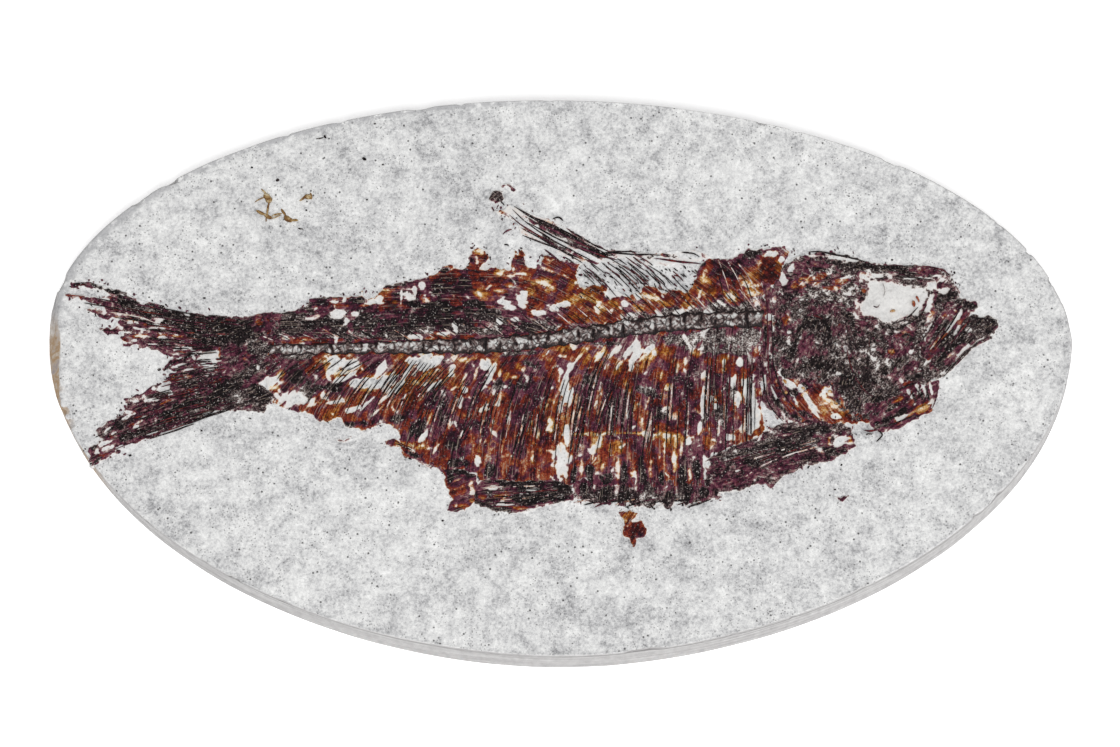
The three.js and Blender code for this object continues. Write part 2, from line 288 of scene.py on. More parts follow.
def shape_slab(p):
    # the grid's x runs once around the oval, and its y along the profile
    angle = p[:, 0] * 2 * math.pi
    profile = np.array(slab_profile())
    step = np.round(p[:, 1] * (len(profile) - 1)).astype(int)
    reach, z = profile[step].T
    c, s = np.cos(angle), np.sin(angle)
    power = np.where(s >= 0, 1, 2 / LOWER_FULLNESS)
    tall = np.where(s >= 0, HALF_HEIGHT - WIDEST_AT_Y, HALF_HEIGHT + WIDEST_AT_Y)
    up = tall * reach * np.sign(s) * np.abs(s) ** power
    x = HALF_WIDTH * reach * np.sign(c) * np.abs(c) ** power - np.where(s >= 0, TOP_SKEW * up, 0)
    y = WIDEST_AT_Y + up
    # the side: shallow waves along the beds, always inwards, dying out where the grid's two ends meet
    around = angle * MEAN_RADIUS
    off_seam = np.clip(np.minimum(p[:, 0], 1 - p[:, 0]) / 0.01, 0, 1)
    rim = np.clip((reach - 0.985) / 0.012, 0, 1)
    bed = 0.5 + 0.5 * cloud(around, z, 26, 0.55, 3)
    wear = 0.5 + 0.5 * cloud(around, z, 4.5, 1.6, 5)
    on_edge = np.exp(-((face_z - z) / 0.9) ** 2)
    chip = np.clip(cloud(around, z, 2.2, 3, 8) - 0.45, 0, 1) * on_edge * off_seam
    inward = off_seam * rim * (0.07 * bed + 0.06 * wear + 0.9 * chip) * (z > 0.2)
    outward_x, outward_y = np.cos(angle), np.sin(angle)
    x, y = x - inward * outward_x, y - inward * outward_y
    # the face: a fine uneven skin, a touch below the height of the bone film
    top = (z > face_z - 0.01) & (reach < 0.993)
    rough = 0.045 * cloud(x, y, 0.9, seed=1) + 0.03 * cloud(x, y, 3.1, seed=2)
    z = np.where(top, z - 0.1 + rough, z)
    z = z - rim * 1.2 * chip * (z > face_z - 2)
    # the worn left rim: everything beyond a slanting plane is planed back to it
    for at_x, at_y, tilt, heading in WEAR_PLANES:
        t, h = math.radians(tilt), math.radians(heading)
        normal = np.array([math.cos(h) * math.sin(t), math.sin(h) * math.sin(t), math.cos(t)])
        beyond = (x - at_x) * normal[0] + (y - at_y) * normal[1] + (z - face_z) * normal[2]
        beyond = beyond + 0.16 * cloud(y, z, 2.4, seed=6) + 0.05 * cloud(y, z + x, 0.6, seed=9)
        beyond = np.clip(beyond, 0, 3)
        x, y, z = x - beyond * normal[0], y - beyond * normal[1], z - beyond * normal[2]
    return np.stack([x, y, z], 1), {"reach": reach}


body = bmesh.new()
bmesh.ops.create_grid(body, x_segments=700, y_segments=len(slab_profile()) - 1, size=0.5)
bmesh.ops.translate(body, vec=(0.5, 0.5, 0), verts=body.verts)
slab = build("limestone_slab", body, shape_slab)


def stone(start, place):
    """The limestone's colour and height: soft mottling, small grey wisps, dark grains and fine dust."""
    broad = speckle(start, place, 7, 2, 0.5)
    mottle = speckle(start, place, 1.7, 5, 0.75)
    fine = speckle(start, place, 0.33, 3, 0.75)
    tint = 0.5 + 1.45 * (0.15 * broad + 0.45 * mottle + 0.4 * fine - 0.5)
    base = tint.node("ShaderNodeValToRGB", {"stops": (
        (0.30, srgb(128, 128, 130)), (0.41, srgb(176, 176, 177)), (0.50, srgb(202, 202, 202)),
        (0.58, srgb(217, 217, 216)), (0.70, srgb(236, 236, 235)))}, {"Fac": tint})
    wisps = start.node("ShaderNodeTexNoise", {"noise_type": "RIDGED_MULTIFRACTAL"}, {
        "Vector": place, "Scale": 1 / (2.6 * MM), "Detail": 4, "Roughness": 0.6})
    wisp = wisps.between(0.95, 1.25) * speckle(start, place, 3.4, 1).between(0.46, 0.58)
    base = (0.42 * wisp).blend(base, srgb(128, 128, 131))
    grains = start.node("ShaderNodeTexVoronoi", {}, {"Vector": place, "Scale": 1 / (0.95 * MM)}, "Distance")
    spot = (1 - grains.between(0.1, 0.18)) * speckle(start, place, 2.3, 2).between(0.51, 0.55)
    base = (0.85 * spot).blend(base, srgb(52, 50, 50))
    dust = start.node("ShaderNodeTexVoronoi", {}, {"Vector": place, "Scale": 1 / (0.42 * MM)}, "Distance")
    dusty = (1 - dust.between(0.14, 0.3)) * speckle(start, place, 2.6, 2).between(0.48, 0.56)
    base = (0.7 * dusty).blend(base, srgb(104, 103, 104))
    return base, 0.6 * mottle + 0.6 * fine - 0.3 * spot


limestone, start = new_material("limestone")
place = start.node("ShaderNodeTexCoord", {}, {}, "Object")
face_color, face_height = stone(start, place)
x_wire = start.node("ShaderNodeSeparateXYZ", {}, {0: place}, "X")
y_wire = Wire(start.tree, x_wire.socket.node.outputs["Y"])
z_wire = Wire(start.tree, x_wire.socket.node.outputs["Z"])
stretched = start.node("ShaderNodeMapping", {}, {"Vector": place, "Scale": (60, 60, 2600)})
beds = start.node("ShaderNodeTexNoise", {}, {"Vector": stretched, "Scale": 1, "Detail": 3,
                                             "Roughness": 0.6})
stretched = start.node("ShaderNodeMapping", {}, {"Vector": place, "Scale": (1100, 1100, 300)})
ground = start.node("ShaderNodeTexNoise", {}, {"Vector": stretched, "Scale": 1, "Detail": 3})
side_tone = 0.65 * beds + 0.35 * ground
side_color = side_tone.node("ShaderNodeValToRGB", {"stops": (
    (0.30, srgb(146, 144, 144)), (0.46, srgb(174, 172, 172)), (0.60, srgb(194, 193, 192)),
    (0.75, srgb(214, 213, 212)))}, {"Fac": side_tone})
# painted shade: a dark band along the crease just under the rounded rim, broken up by noise
rim_crease_shade = z_wire.between((face_z - 1.0) * MM, (face_z - 0.75) * MM)
rim_crease_shade = rim_crease_shade * (1 - z_wire.between((face_z - 0.6) * MM, (face_z - 0.42) * MM))
side_color = (0.7 * rim_crease_shade * ground.between(0.3, 0.5)).blend(side_color, srgb(96, 94, 94))
lamination = start.node("ShaderNodeMapping", {}, {"Vector": place, "Scale": (25, 25, 5200)})
lamination = start.node("ShaderNodeTexNoise", {}, {"Vector": lamination, "Scale": 1, "Detail": 1})
side_color = (0.45 * lamination.between(0.55, 0.64)).blend(side_color, srgb(112, 110, 110))
upright = start.node("ShaderNodeNewGeometry", {}, {}, "Normal")
facing = upright.node("ShaderNodeSeparateXYZ", {}, {0: upright}, "Z").between(0.45, 0.8)
reach = start.node("ShaderNodeAttribute", {"attribute_name": "reach"}, {}, "Fac")
# painted shade: the rounded rim along the upper left, which leans away from the lamps, is coloured a darker
# grey in patches
upper_left_rim_shade = reach.between(0.972, 0.988) * y_wire.between(-0.004, 0.012) * (1 - x_wire.between(-0.012, 0.004))
upper_left_rim_shade = upper_left_rim_shade * speckle(start, place, 1.2, 3).between(0.36, 0.5)
face_color = (0.75 * upper_left_rim_shade).blend(face_color, srgb(158, 158, 160))
color = facing.blend(side_color, face_color)
# ochre and grey-purple stain on the worn left rim
worn = (1 - x_wire.between(-0.0632, -0.0606)) * (1 - y_wire.between(0.004, 0.009))
worn = worn + (1 - x_wire.between(-0.0605, -0.056)) * (1 - y_wire.between(-0.0095,
                                                                          -0.0085)) * y_wire.between(
    -0.0185, -0.0155)
stain = speckle(start, place, 2.4, 4, 0.65)
ochre = stain.node("ShaderNodeValToRGB", {"stops": (
    (0.36, srgb(140, 130, 130)), (0.45, srgb(166, 150, 134)), (0.53, srgb(150, 118, 78)),
    (0.60, srgb(172, 156, 138)), (0.70, srgb(196, 188, 180)))}, {"Fac": stain})
off_face = 1 - z_wire.between(0.00925, 0.00938)
color = (0.95 * worn * off_face).blend(color, ochre)
slab.data.materials.append(finish(limestone, color, 0.85, face_height + 0.35 * beds, 0.12))
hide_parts("slab")
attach(slab, "root")

# ---- Skin over the back ----
# Above the backbone the fish keeps its scale-covered skin, now a film of dark mineral a fifth of a
# millimetre thick: plum and black over the muscle, amber where it has worn thin, and open to the pale
# stone where it has flaked away. Every sheet of film or bone is bedded in the face of the slab.
BED_DEPTH = 0.6

KINDS = {  # what each kind of place does to the film: how much of it is left there, and how dark it is
    "gap": (-1.7, 0.0),
    "cream": (-0.75, -0.6),
    "amber": (-0.22, -1.3),
    "honey": (-0.42, -1.7),
    "rust": (0.1, -0.45),
    "maroon": (0.25, 0.1),
    "plum": (0.25, 0.55),
    "black": (0.45, 1.3),
    "ash": (-0.15, 1.1),
    "shadow": (0.08, 0.3),
}


def backbone_y(x):
    """The height of the backbone's middle line: level along the tail, rising towards the head."""
    rise = np.clip((np.asarray(x, float) + 12) / 36, 0, 1)
    rise = rise * rise * (3 - 2 * rise)
    return 3.3 + 0.02 * (x + 38) * (1 - rise) + 4 * rise


def inside_distance(x, y, outline):
    """How far each point lies inside a closed outline, in millimetres, and less than 0 outside it."""
    nearest = np.full(x.shape, 1e9)
    inside = np.zeros(x.shape, bool)
    for (ax, ay), (bx, by) in zip(outline, outline[1:] + outline[:1]):
        ex, ey = bx - ax, by - ay
        t = np.clip(((x - ax) * ex + (y - ay) * ey) / (ex * ex + ey * ey), 0, 1)
        nearest = np.minimum(nearest, np.hypot(x - ax - t * ex, y - ay - t * ey))
        inside ^= ((ay > y) != (by > y)) & (x < (y - ay) * ex / (ey or 1e-9) + ax)
    return np.where(inside, nearest, -nearest)


def touch(film, tone, x, y, along, across, marks, seed):
    """Works the listed gaps and stains into a sheet. Each is (x, y, half length, half width,
    angle) in millimetres and degrees, and its edge frays along the fibre."""
    fray = 0.4 * cloud(across, along, 0.3, 1.3, seed + 5) + 0.35 * cloud(x, y, 0.55, seed=seed + 6)
    fray = fray + 0.3 * cloud(x, y, 1.2, seed=seed + 10)
    for kind, places in marks.items():
        left, dark = KINDS[kind]
        for at_x, at_y, long, wide, angle in places:
            near = np.hypot(x - at_x, y - at_y) < long * 2.4 + 0.6
            u, v = x[near] - at_x, y[near] - at_y
            c, s = math.cos(math.radians(angle)), math.sin(math.radians(angle))
            reach = np.hypot((u * c + v * s) / long, (v * c - u * s) / wide) + fray[near]
            strength = np.clip((1.3 - reach) / 0.6, 0, 1)
            film[near] += left * strength
            tone[near] += dark * strength


def lie(angle, crushed=1):
    """A grain that runs straight, at an angle in degrees from the fish's length. The more the bone is
    crushed, the shorter its fibres."""
    c, s = math.cos(math.radians(angle)), math.sin(math.radians(angle))
    return lambda x, y: ((x * c + y * s) * crushed, y * c - x * s)


def relief_sheet(name, outline, grain, marks, full=0.5, tone=0.0, lift=0.22, step=0.14, ragged=0.3,
                 streaks=0.35, blotches=0.4, speck=0.25, seed=0, taper=0.25, patchy=0.55, hole=None):
    """A sheet of film or bone: a fine grid cut to its outline and closed below, whose height and colour both
    follow how much of it is left at each place."""
    low, high = np.min(outline, 0) - 0.7, np.max(outline, 0) + 0.7
    size, middle = high - low, (high + low) / 2
    shape = bmesh.new()
    bmesh.ops.create_grid(shape, x_segments=int(size[0] / step), y_segments=int(size[1] / step), size=0.5)
    bmesh.ops.scale(shape, vec=(*size, 1), verts=shape.verts)
    bmesh.ops.translate(shape, vec=(*middle, 0), verts=shape.verts)
    flat = np.array([v.co[:2] for v in shape.verts])
    inside = inside_distance(flat[:, 0], flat[:, 1], outline)
    outer = [v for v, depth in zip(shape.verts, inside) if depth < -0.45]
    bmesh.ops.delete(shape, geom=outer, context="VERTS")
    bmesh.ops.delete(shape, geom=[e for e in shape.edges if not e.link_faces], context="EDGES")
    bmesh.ops.delete(shape, geom=[v for v in shape.verts if not v.link_faces], context="VERTS")
    wall = bmesh.ops.extrude_edge_only(shape, edges=[e for e in shape.edges if e.is_boundary])["geom"]
    bmesh.ops.translate(shape, vec=(0, 0, -1), verts=[g for g in wall if isinstance(g, bmesh.types.BMVert)])
    bmesh.ops.holes_fill(shape, edges=[g for g in wall if isinstance(g, bmesh.types.BMEdge)], sides=0)

    def move(p):
        x, y, below = p[:, 0], p[:, 1], p[:, 2] < -0.5
        along, across = grain(x, y)
        streak = cloud(across, along, 0.42, 2.6, seed)
        blotch = 0.55 * cloud(x, y, 1.9, seed=seed + 1) + 0.45 * cloud(x, y, 0.8, seed=seed + 2)
        fine = cloud(x, y, 0.3, seed=seed + 3)
        pinhole = np.clip(cloud(x, y, 0.75, seed=seed + 11) - 0.58, 0, 0.25) / 0.25
        film = full + blotches * blotch + streaks * streak + speck * fine - 0.8 * pinhole
        patch = 0.45 * np.tanh(3 * cloud(x, y, 2.4, seed=seed + 4))
        patch = patch + 0.5 * np.tanh(4 * cloud(x, y, 1.2, seed=seed + 7))
        shade = np.minimum(tone + patchy * patch + 0.15 * fine, max(tone + 0.15, 0.6))
        touch(film, shade, x, y, along, across, marks, seed)
        tear = 0.6 * cloud(x, y, 0.9, seed=seed + 8) + 0.5 * streak
        tear = ragged * (tear + 0.5 * cloud(x, y, 0.4, seed=seed + 12))
        depth = inside_distance(x, y, outline)
        edge = (depth + tear) / taper
        edge = np.where(edge < 0, 3 * edge, edge)
        if hole:
            edge = np.minimum(edge, np.maximum((tear - inside_distance(x, y, hole)) / taper, -1.15))
        outside = np.clip(-inside_distance(x, y, outline) / 0.4, 0, 1)
        film = np.clip(np.minimum(film, edge), -2, 1.2)
        height = lift * np.clip(film, 0, 1) ** 0.7 + 0.04 * fine + 0.05 * streak * (film > 0)
        height = height + 0.05 * cloud(x, y, 1.2, seed=seed + 9) - 0.45 * outside
        z = np.where(below, face_z - BED_DEPTH, face_z + height)
        return np.stack([x, y, z], 1), {
            "film": film, "tone": shade, "grain": np.stack([along, across, 0 * x], 1)}

    return build(name, shape, move)


THINNING = (0.1, 0.38, 0.46, 0.55, 0.64, 0.74, 0.86, 1.0)
BARE = (214, 212, 209)


def film_colors(level, *colors):
    """From bare matrix, through a thin see-through stain, to the full dark film."""
    stops = tuple(zip(THINNING, (srgb(*color) for color in (BARE, *colors))))
    return level.node("ShaderNodeValToRGB", {"stops": stops}, {"Fac": level})


def drawn_out(start, fibre, long, wide, detail=2):
    """Random shading drawn out along the fibre, with swells about long by wide millimetres."""
    stretched = start.node("ShaderNodeMapping", {}, {"Vector": fibre, "Scale": (1 / long, 1 / wide, 1)})
    sockets = {"Vector": stretched, "Scale": 1, "Detail": detail, "Roughness": 0.6}
    return start.node("ShaderNodeTexNoise", {}, sockets)


bone_film, start = new_material("mineral_film")
place = start.node("ShaderNodeTexCoord", {}, {}, "Object")
matrix_color, matrix_height = stone(start, place)
left = start.node("ShaderNodeAttribute", {"attribute_name": "film"}, {}, "Fac")
shade = start.node("ShaderNodeAttribute", {"attribute_name": "tone"}, {}, "Fac")
fibre = start.node("ShaderNodeAttribute", {"attribute_name": "grain"}, {}, "Vector")
streak = drawn_out(start, fibre, 2.2, 0.26, 3).between(0.3, 0.7)
fine = speckle(start, place, 0.42, 3, 0.7).between(0.3, 0.7)
grit = speckle(start, place, 0.19, 2, 0.6).between(0.3, 0.7)
crushed = shade.between(0.65, 1.05)
loose_grain = (0.3 + 0.6 * crushed) * (grit - 0.5)
level = 0.5 + 0.42 * (left + 0.35 * (streak - 0.5) + (0.3 + 0.25 * crushed) * (fine - 0.5) + loose_grain)
amber = film_colors(level, (216, 209, 198), (214, 190, 150), (202, 150, 84), (176, 108, 42),
                    (140, 70, 24), (96, 42, 16), (50, 18, 10))
red = film_colors(level, (214, 206, 198), (204, 172, 144), (172, 106, 70), (146, 62, 38),
                  (122, 42, 30), (84, 27, 27), (38, 12, 15))
plum = film_colors(level, (212, 206, 203), (186, 166, 160), (146, 104, 106), (120, 66, 82),
                   (96, 44, 63), (62, 27, 42), (26, 11, 19))
black = film_colors(level, (212, 208, 205), (182, 173, 168), (136, 122, 118), (98, 84, 83),
                    (68, 55, 56), (40, 30, 32), (14, 8, 10))
color = shade.between(-1.0, -0.3).blend(amber, red)
color = shade.between(0.05, 0.4).blend(color, plum)
color = shade.between(0.7, 1.1).blend(color, black)
covered = left.between(-0.15, 0.1)
color = (0.4 * (1 - left.between(-0.9, -0.4))).blend(color, matrix_color)
color = left.between(-1.9, -1.2).blend(matrix_color, color)
thread = drawn_out(start, fibre, 3.5, 0.17, 1)
color = (0.8 * thread.between(0.6, 0.68) * covered).blend(color, srgb(18, 10, 11))
color = (0.4 * (1 - thread.between(0.31, 0.37)) * covered).blend(color, srgb(196, 176, 160))
# specks on the crushed bone: the pale ones are painted highlights, small glints of light, and the dark ones
# are real black grains
glint_and_grain_specks = speckle(start, place, 0.24, 1, 0.5)
glint_and_grain_amount = (0.25 + 0.5 * crushed) * covered
# painted highlights: pale glints on the bone
color = (glint_and_grain_specks.between(0.66, 0.71) * glint_and_grain_amount).blend(color, srgb(206, 198, 194))
color = ((1 - glint_and_grain_specks.between(0.3, 0.35)) * glint_and_grain_amount).blend(color, srgb(10, 5, 8))
relief = 0.5 * streak + 0.6 * fine + 0.5 * grit + 0.5 * thread
relief = covered * relief + (1 - covered) * (0.5 + 0.5 * matrix_height)
film_finish = finish(bone_film, color, 0.7 - 0.25 * covered, relief, 0.2)
film_finish.node_tree.nodes["Principled BSDF"].inputs["Specular IOR Level"].default_value = 0.15


def back_grain(x, y):
    rise = y - backbone_y(x)
    slanting = np.log1p(np.exp((x + 4) / 2.5)) * 2.5
    return x + 0.3 * rise, rise + 0.8 * slanting


def settle(piece, slot_name, *nodes, finish_with=None):
    """Gives a finished piece its material and its place on the slab, and hides the nodes it stands for.
    slot_name is not used.
    """
    piece.data.materials.append(finish_with or film_finish)
    if nodes:
        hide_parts(*nodes)
    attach(piece, "root")


def along_backbone(start_x, end_x, offset):
    return [(x, float(backbone_y(x)) + offset) for x in np.linspace(start_x, end_x, 16)]


back_outline = [
    (-37, 8), (-33.5, 8.4), (-32.3, 8.9), (-31.6, 9.9), (-29.4, 10.2), (-26.1, 10.3), (-25.2, 10.4),
    (-25, 11), (-24.8, 10.3), (-24, 9.9), (-23.4, 10.2), (-22.1, 11.6), (-20.2, 12.1), (-17.7, 12.5),
    (-16.3, 12.9), (-15.2, 13.2), (-14.9, 14), (-13.9, 14.3), (-12.5, 14), (-11.4, 14.1), (-11.4, 15.3),
    (-10.9, 16.5), (-10.3, 16.7), (-9.5, 16.3), (-8.8, 15.1), (-9.4, 14.6), (-8.5, 14.4), (-7.6, 13.8),
    (-6.2, 13.8), (-5.9, 15), (-5.6, 16.1), (-5.2, 15.4), (-4.8, 16.5), (-4.3, 15.5), (-4.1, 14.1),
    (-3, 13.9), (-2.3, 14.6), (-1.9, 15.5), (0, 15.1), (3, 14.6), (2.2, 13.4), (2.2, 12), (3, 11.4),
    (5.9, 11.9), (6.4, 10.9), (7.4, 11), (8.6, 10.3), (10.3, 10.9), (11, 11.9), (12.2, 11.5), (13.4, 10.7),
    (14.6, 11.4), (16, 10.9), (17, 11.6), (17.1, 12.4), (17.5, 13.4), (17.9, 14.4), (19, 15), (21.8, 15.1),
    (23.2, 16.1), (24, 16.5), (26.2, 16.5), (28.5, 16.8), (29.2, 16), (28.6, 15.1), (28.2, 13.4),
    (27.6, 12.1), (26.6, 11.6), (26.1, 11),
] + along_backbone(26, -37, 0.1)
back_marks = {
    "honey": [
        (3, 10.2, 1.3, .5, 0), (5.2, 8.9, 1, .4, 0), (-1.6, 12, 1.2, .35, 0), (18.4, 12.4, .8, .6, 0),
        (21.7, 10, .6, .8, 0), (-10, 16.1, .5, .35, 0), (24.6, 10.6, .8, .35, 0), (11.8, 10.1, 1, .3, -15),
        (-10.2, 10.6, .9, .3, -10), (-20.8, 9.6, .5, .3, 0), (-7.4, 13.2, .5, .25, 0),
    ],
    "shadow": [
        (-16.5, 11.4, 7, 1.8, 8), (-28, 7.2, 9.5, 2.6, 5), (-14, 8, 7, 3.2, 0), (-31, 6, 6, 2, 0),
        (22, 9.5, 4, 1.6, 0),
    ],
    "gap": [
        (-27.8, 8, .9, .6, 0), (-26.9, 7.1, .3, .5, 0), (-25.9, 7.95, .5, .3, 0), (-28.7, 9.6, .6, .2, 0),
        (-27.2, 9.8, .3, .4, 0), (-22.7, 9.9, .6, .5, 70), (-23.6, 9.6, .5, .4, 0),
        (-19.1, 10.3, .6, .5, 0), (-20, 10.1, .8, .2, 90), (-18.3, 10.5, .9, .28, 90),
        (-17.3, 11.7, .5, .4, 90), (-18.3, 5.1, .9, .4, 0), (-13.1, 6.2, .7, .25, 110),
        (-9.5, 14.2, .5, .4, 0), (-8.2, 14.4, .4, .3, 0), (-7, 9.5, .8, .5, -20), (-6, 8.9, .6, .4, 0),
        (-4.6, 9.7, 1.1, .55, 80), (-5.6, 7.3, .45, .35, 0), (-7.5, 7, .3, .4, 0), (-2.7, 8.1, 1, .32, 5),
        (-.6, 8.9, .7, .45, 0), (.9, 9.3, .6, .35, 0), (3.1, 12, .9, .6, 0), (6.9, 10.6, .9, .5, 0),
        (8.3, 9.2, .5, .4, 0), (26.8, 15.8, 1, .35, 0), (12.6, 8.1, .6, .25, -40), (15.5, 8.3, .8, .35, 0),
        (28.3, 15, .4, .4, 0), (9.9, 10.3, .7, .3, -45), (18.9, 8.3, .5, .25, 0), (-28.2, 4.7, .5, .2, 80),
        (-15, 5.5, .9, .2, 0), (8.9, 7.9, .4, .2, 0), (13.2, 10.2, .5, .2, -40),
    ],
    "cream": [
        (-31.3, 7.5, .9, .3, 10), (-21.6, 11.05, 1.2, .2, 0), (-19.6, 11.2, 1.3, .16, -5),
        (-16.5, 6.35, .8, .1, 0), (-7.4, 11, .8, .25, 0), (-6.2, 12.9, .5, .2, 0),
        (19.3, 9.6, 1.4, .18, -40), (20.6, 9.3, 1.2, .18, -40), (18, 10.9, .8, .2, -40),
        (24, 11.9, 1.2, .35, -10), (23, 12.7, .4, .25, 0), (-34.5, 4.9, .5, .2, 0), (-31.8, 4.6, .8, .2, 0),
        (-24.4, 9.2, .8, .2, 10), (16.8, 9.6, .3, .2, 0), (-1.2, 13.6, .8, .2, -25),
        (0.9, 12.9, .6, .2, -30), (-16.8, 13.1, .9, .18, 0), (-4.9, 13.2, .6, .14, 0),
    ],
    "amber": [
        (-10, 10.6, 1.3, .5, -10), (-7.5, 13.4, .6, .4, 0), (-2.1, 12.2, 1.4, .6, 0),
        (-1.2, 11.2, .9, .5, 20), (-3.6, 11, .5, .8, 0), (1.5, 11.6, .9, .6, 60), (3.1, 10.2, 1.5, .9, 0),
        (5, 8.9, 1.4, .8, 0), (7.1, 9.2, .7, .6, 0), (11.6, 10.2, 1.2, .5, -15), (13.8, 9.4, 1, .5, -10),
        (10, 8.8, .8, .4, 0), (18.6, 12.4, .8, .6, 0), (21.8, 10.2, .8, .9, 0), (24.7, 10.8, 1.1, .6, 0),
        (19.5, 10.8, .8, .6, -40), (16.2, 9, .9, .5, 0), (-10.2, 16, .7, .6, 0), (27.8, 14, .4, .6, 0),
        (1.2, 9.6, .8, .4, 0), (-6.4, 11.8, .6, .3, 0), (18, 9, .8, .6, 0), (25.2, 9.2, .7, .7, 0),
    ],
    "rust": [
        (-25.5, 9.1, 1.9, .4, 5), (-27.4, 9, .8, .3, 0), (4.8, 11.3, .9, .35, 0), (.5, 7.5, 1.3, .5, 0),
        (3, 7.6, 1.8, .5, -10), (6.5, 7.8, 1.2, .6, 0), (16.2, 10, .5, .5, 0), (23, 14, 2.6, 1.1, 0),
        (25, 12.9, 1.8, .6, 0), (-16, 10, 1, .35, 0), (-35.5, 6, 1.2, .4, 0), (-32.8, 4.7, 1, .35, 0),
        (-20.5, 9, 1.6, .7, 0), (2.2, 14, 1.1, .4, -25), (-.4, 14.5, 1, .4, -20),
    ],
    "maroon": [
        (.4, 10.9, .9, .7, 0), (-2.7, 10, .9, .9, 0), (20, 14.4, 2, .5, 0), (26.5, 14.1, 1.2, .7, 0),
        (20.6, 13.2, 2.4, .8, 0), (23, 11.7, 1.4, .7, 0), (19.6, 11.4, .9, .5, 0), (26.4, 12.6, 1, .8, 0),
        (-14, 12, 2.5, 1.4, 0), (-11, 12.4, 2.5, .8, 0), (-18.5, 9.8, 2.2, .8, 0), (-30.5, 9.3, 1.4, .5, 0),
        (-11, 14.9, .5, .5, 0), (-9.3, 15.1, .4, .4, 0), (19.8, 13.2, 1.6, .5, 0),
    ],
    "plum": [
        (24.4, 14.8, 2.2, .7, 0), (22.6, 13, 1.2, .5, 0), (-25.6, 9.8, 1.2, .5, 0), (-34.5, 6.6, 2.4, 1, 0),
        (-27.9, 6.4, 1.3, .9, 0), (-24, 7, 2, 1.1, 0), (-17, 7.8, 3.4, 1.2, 0), (-12, 8, 2.4, 1.2, 0),
        (-9, 12.3, 2, .4, 0), (-4.8, 11.9, 1.3, .5, -20), (-20.5, 6.2, 2.2, .7, 0), (-13, 6.9, 2.5, .6, 0),
        (-6.6, 6.6, 1.5, .8, 0), (-2, 7, 1.6, .6, 0),
    ],
    "black": [
        (24.7, 15.9, 1.1, .45, 0), (-14.6, 13.7, .6, .3, 10), (-12, 13.9, 1.2, .18, -15),
        (-21, 11.7, 1.3, .15, 8), (-30, 10.1, 1.4, .16, 3), (-16, 9, 2.6, .5, 0), (-10.5, 9.3, 1.6, .5, 0),
        (-4.6, 15, .5, .9, 75), (-3.5, 6.1, 2.4, .4, 0), (17.9, 14.6, .5, .3, 0), (-35.5, 8.2, 1.4, .25, 0),
        (-13.6, 8.6, 2, .35, 0),
    ],
    "ash": [
        (-34, 7.6, 1.6, .5, 0), (-20.5, 5.2, 2.5, .5, 0), (-12, 5.8, 3.2, .5, 0), (-3, 6.2, 3, .5, 0),
        (10, 7.4, 2.6, .7, 0), (16, 8, 3, .8, 0), (21.5, 8.4, 5.5, 1, 0), (-8.5, 8, 1.6, .7, 0),
        (-27, 5.2, 3.5, .4, 0), (24.8, 9.6, 1.2, 1, 0), (-17.5, 5.9, 1.6, .3, 0), (3.4, 6.5, 2.6, .35, 0),
    ],
}
back_skin = relief_sheet("back_skin", back_outline, back_grain, back_marks, full=0.54, tone=0.18,
                         streaks=0.25, speck=0.3, patchy=0.8, seed=1)
settle(back_skin, "scale_film", "back_scales")


# ---- Skin over the flank and belly ----
# Below the backbone the film lies over the ribs, which lean back from the head and straighten towards the
# belly. It is broken along them into narrow panels.
def rib_lean(root):
    """How far a rib's tip lies behind its root, for a rib that starts at root on the backbone."""
    return np.interp(root, (-24, -10, 0, 9, 14, 20, 26), (11, 8.5, 6, 5, 3, 1.2, 0.2))


def belly_grain(x, y):
    fall = backbone_y(x) - y
    bend = 1 - np.exp(-np.maximum(fall, 0) / 6)
    return fall, x + rib_lean(x + rib_lean(x) * bend * 0.8) * bend


belly_outline = along_backbone(-36.9, 25.9, -0.1) + [
    (25.9, 3), (25.6, 0), (25.7, -5.5), (26.2, -6.9), (25, -7.9), (22, -9), (19.5, -10), (18.5, -11),
    (18.3, -14.2), (10, -14.3), (2, -14), (-4, -13.8), (-9.8, -13.3), (-10.2, -12.4), (-14.6, -12.1),
    (-16.2, -11.5), (-17.6, -10.8), (-19.3, -10.2), (-19.9, -9.4), (-20.3, -9), (-21.7, -8.7),
    (-21.4, -8.3),
    (-20.2, -8), (-20.6, -7), (-21.1, -6.1), (-22.5, -6.3), (-25, -7), (-26.1, -6.9), (-27, -6.4),
    (-27.7, -5.5), (-29.2, -5.8), (-30.2, -6), (-30.9, -5), (-32.6, -4.6), (-33.4, -4.3), (-34.3, -4.2),
    (-36.1, -3.4), (-36.6, -2.4), (-37, -1), (-37, 1.5),
]
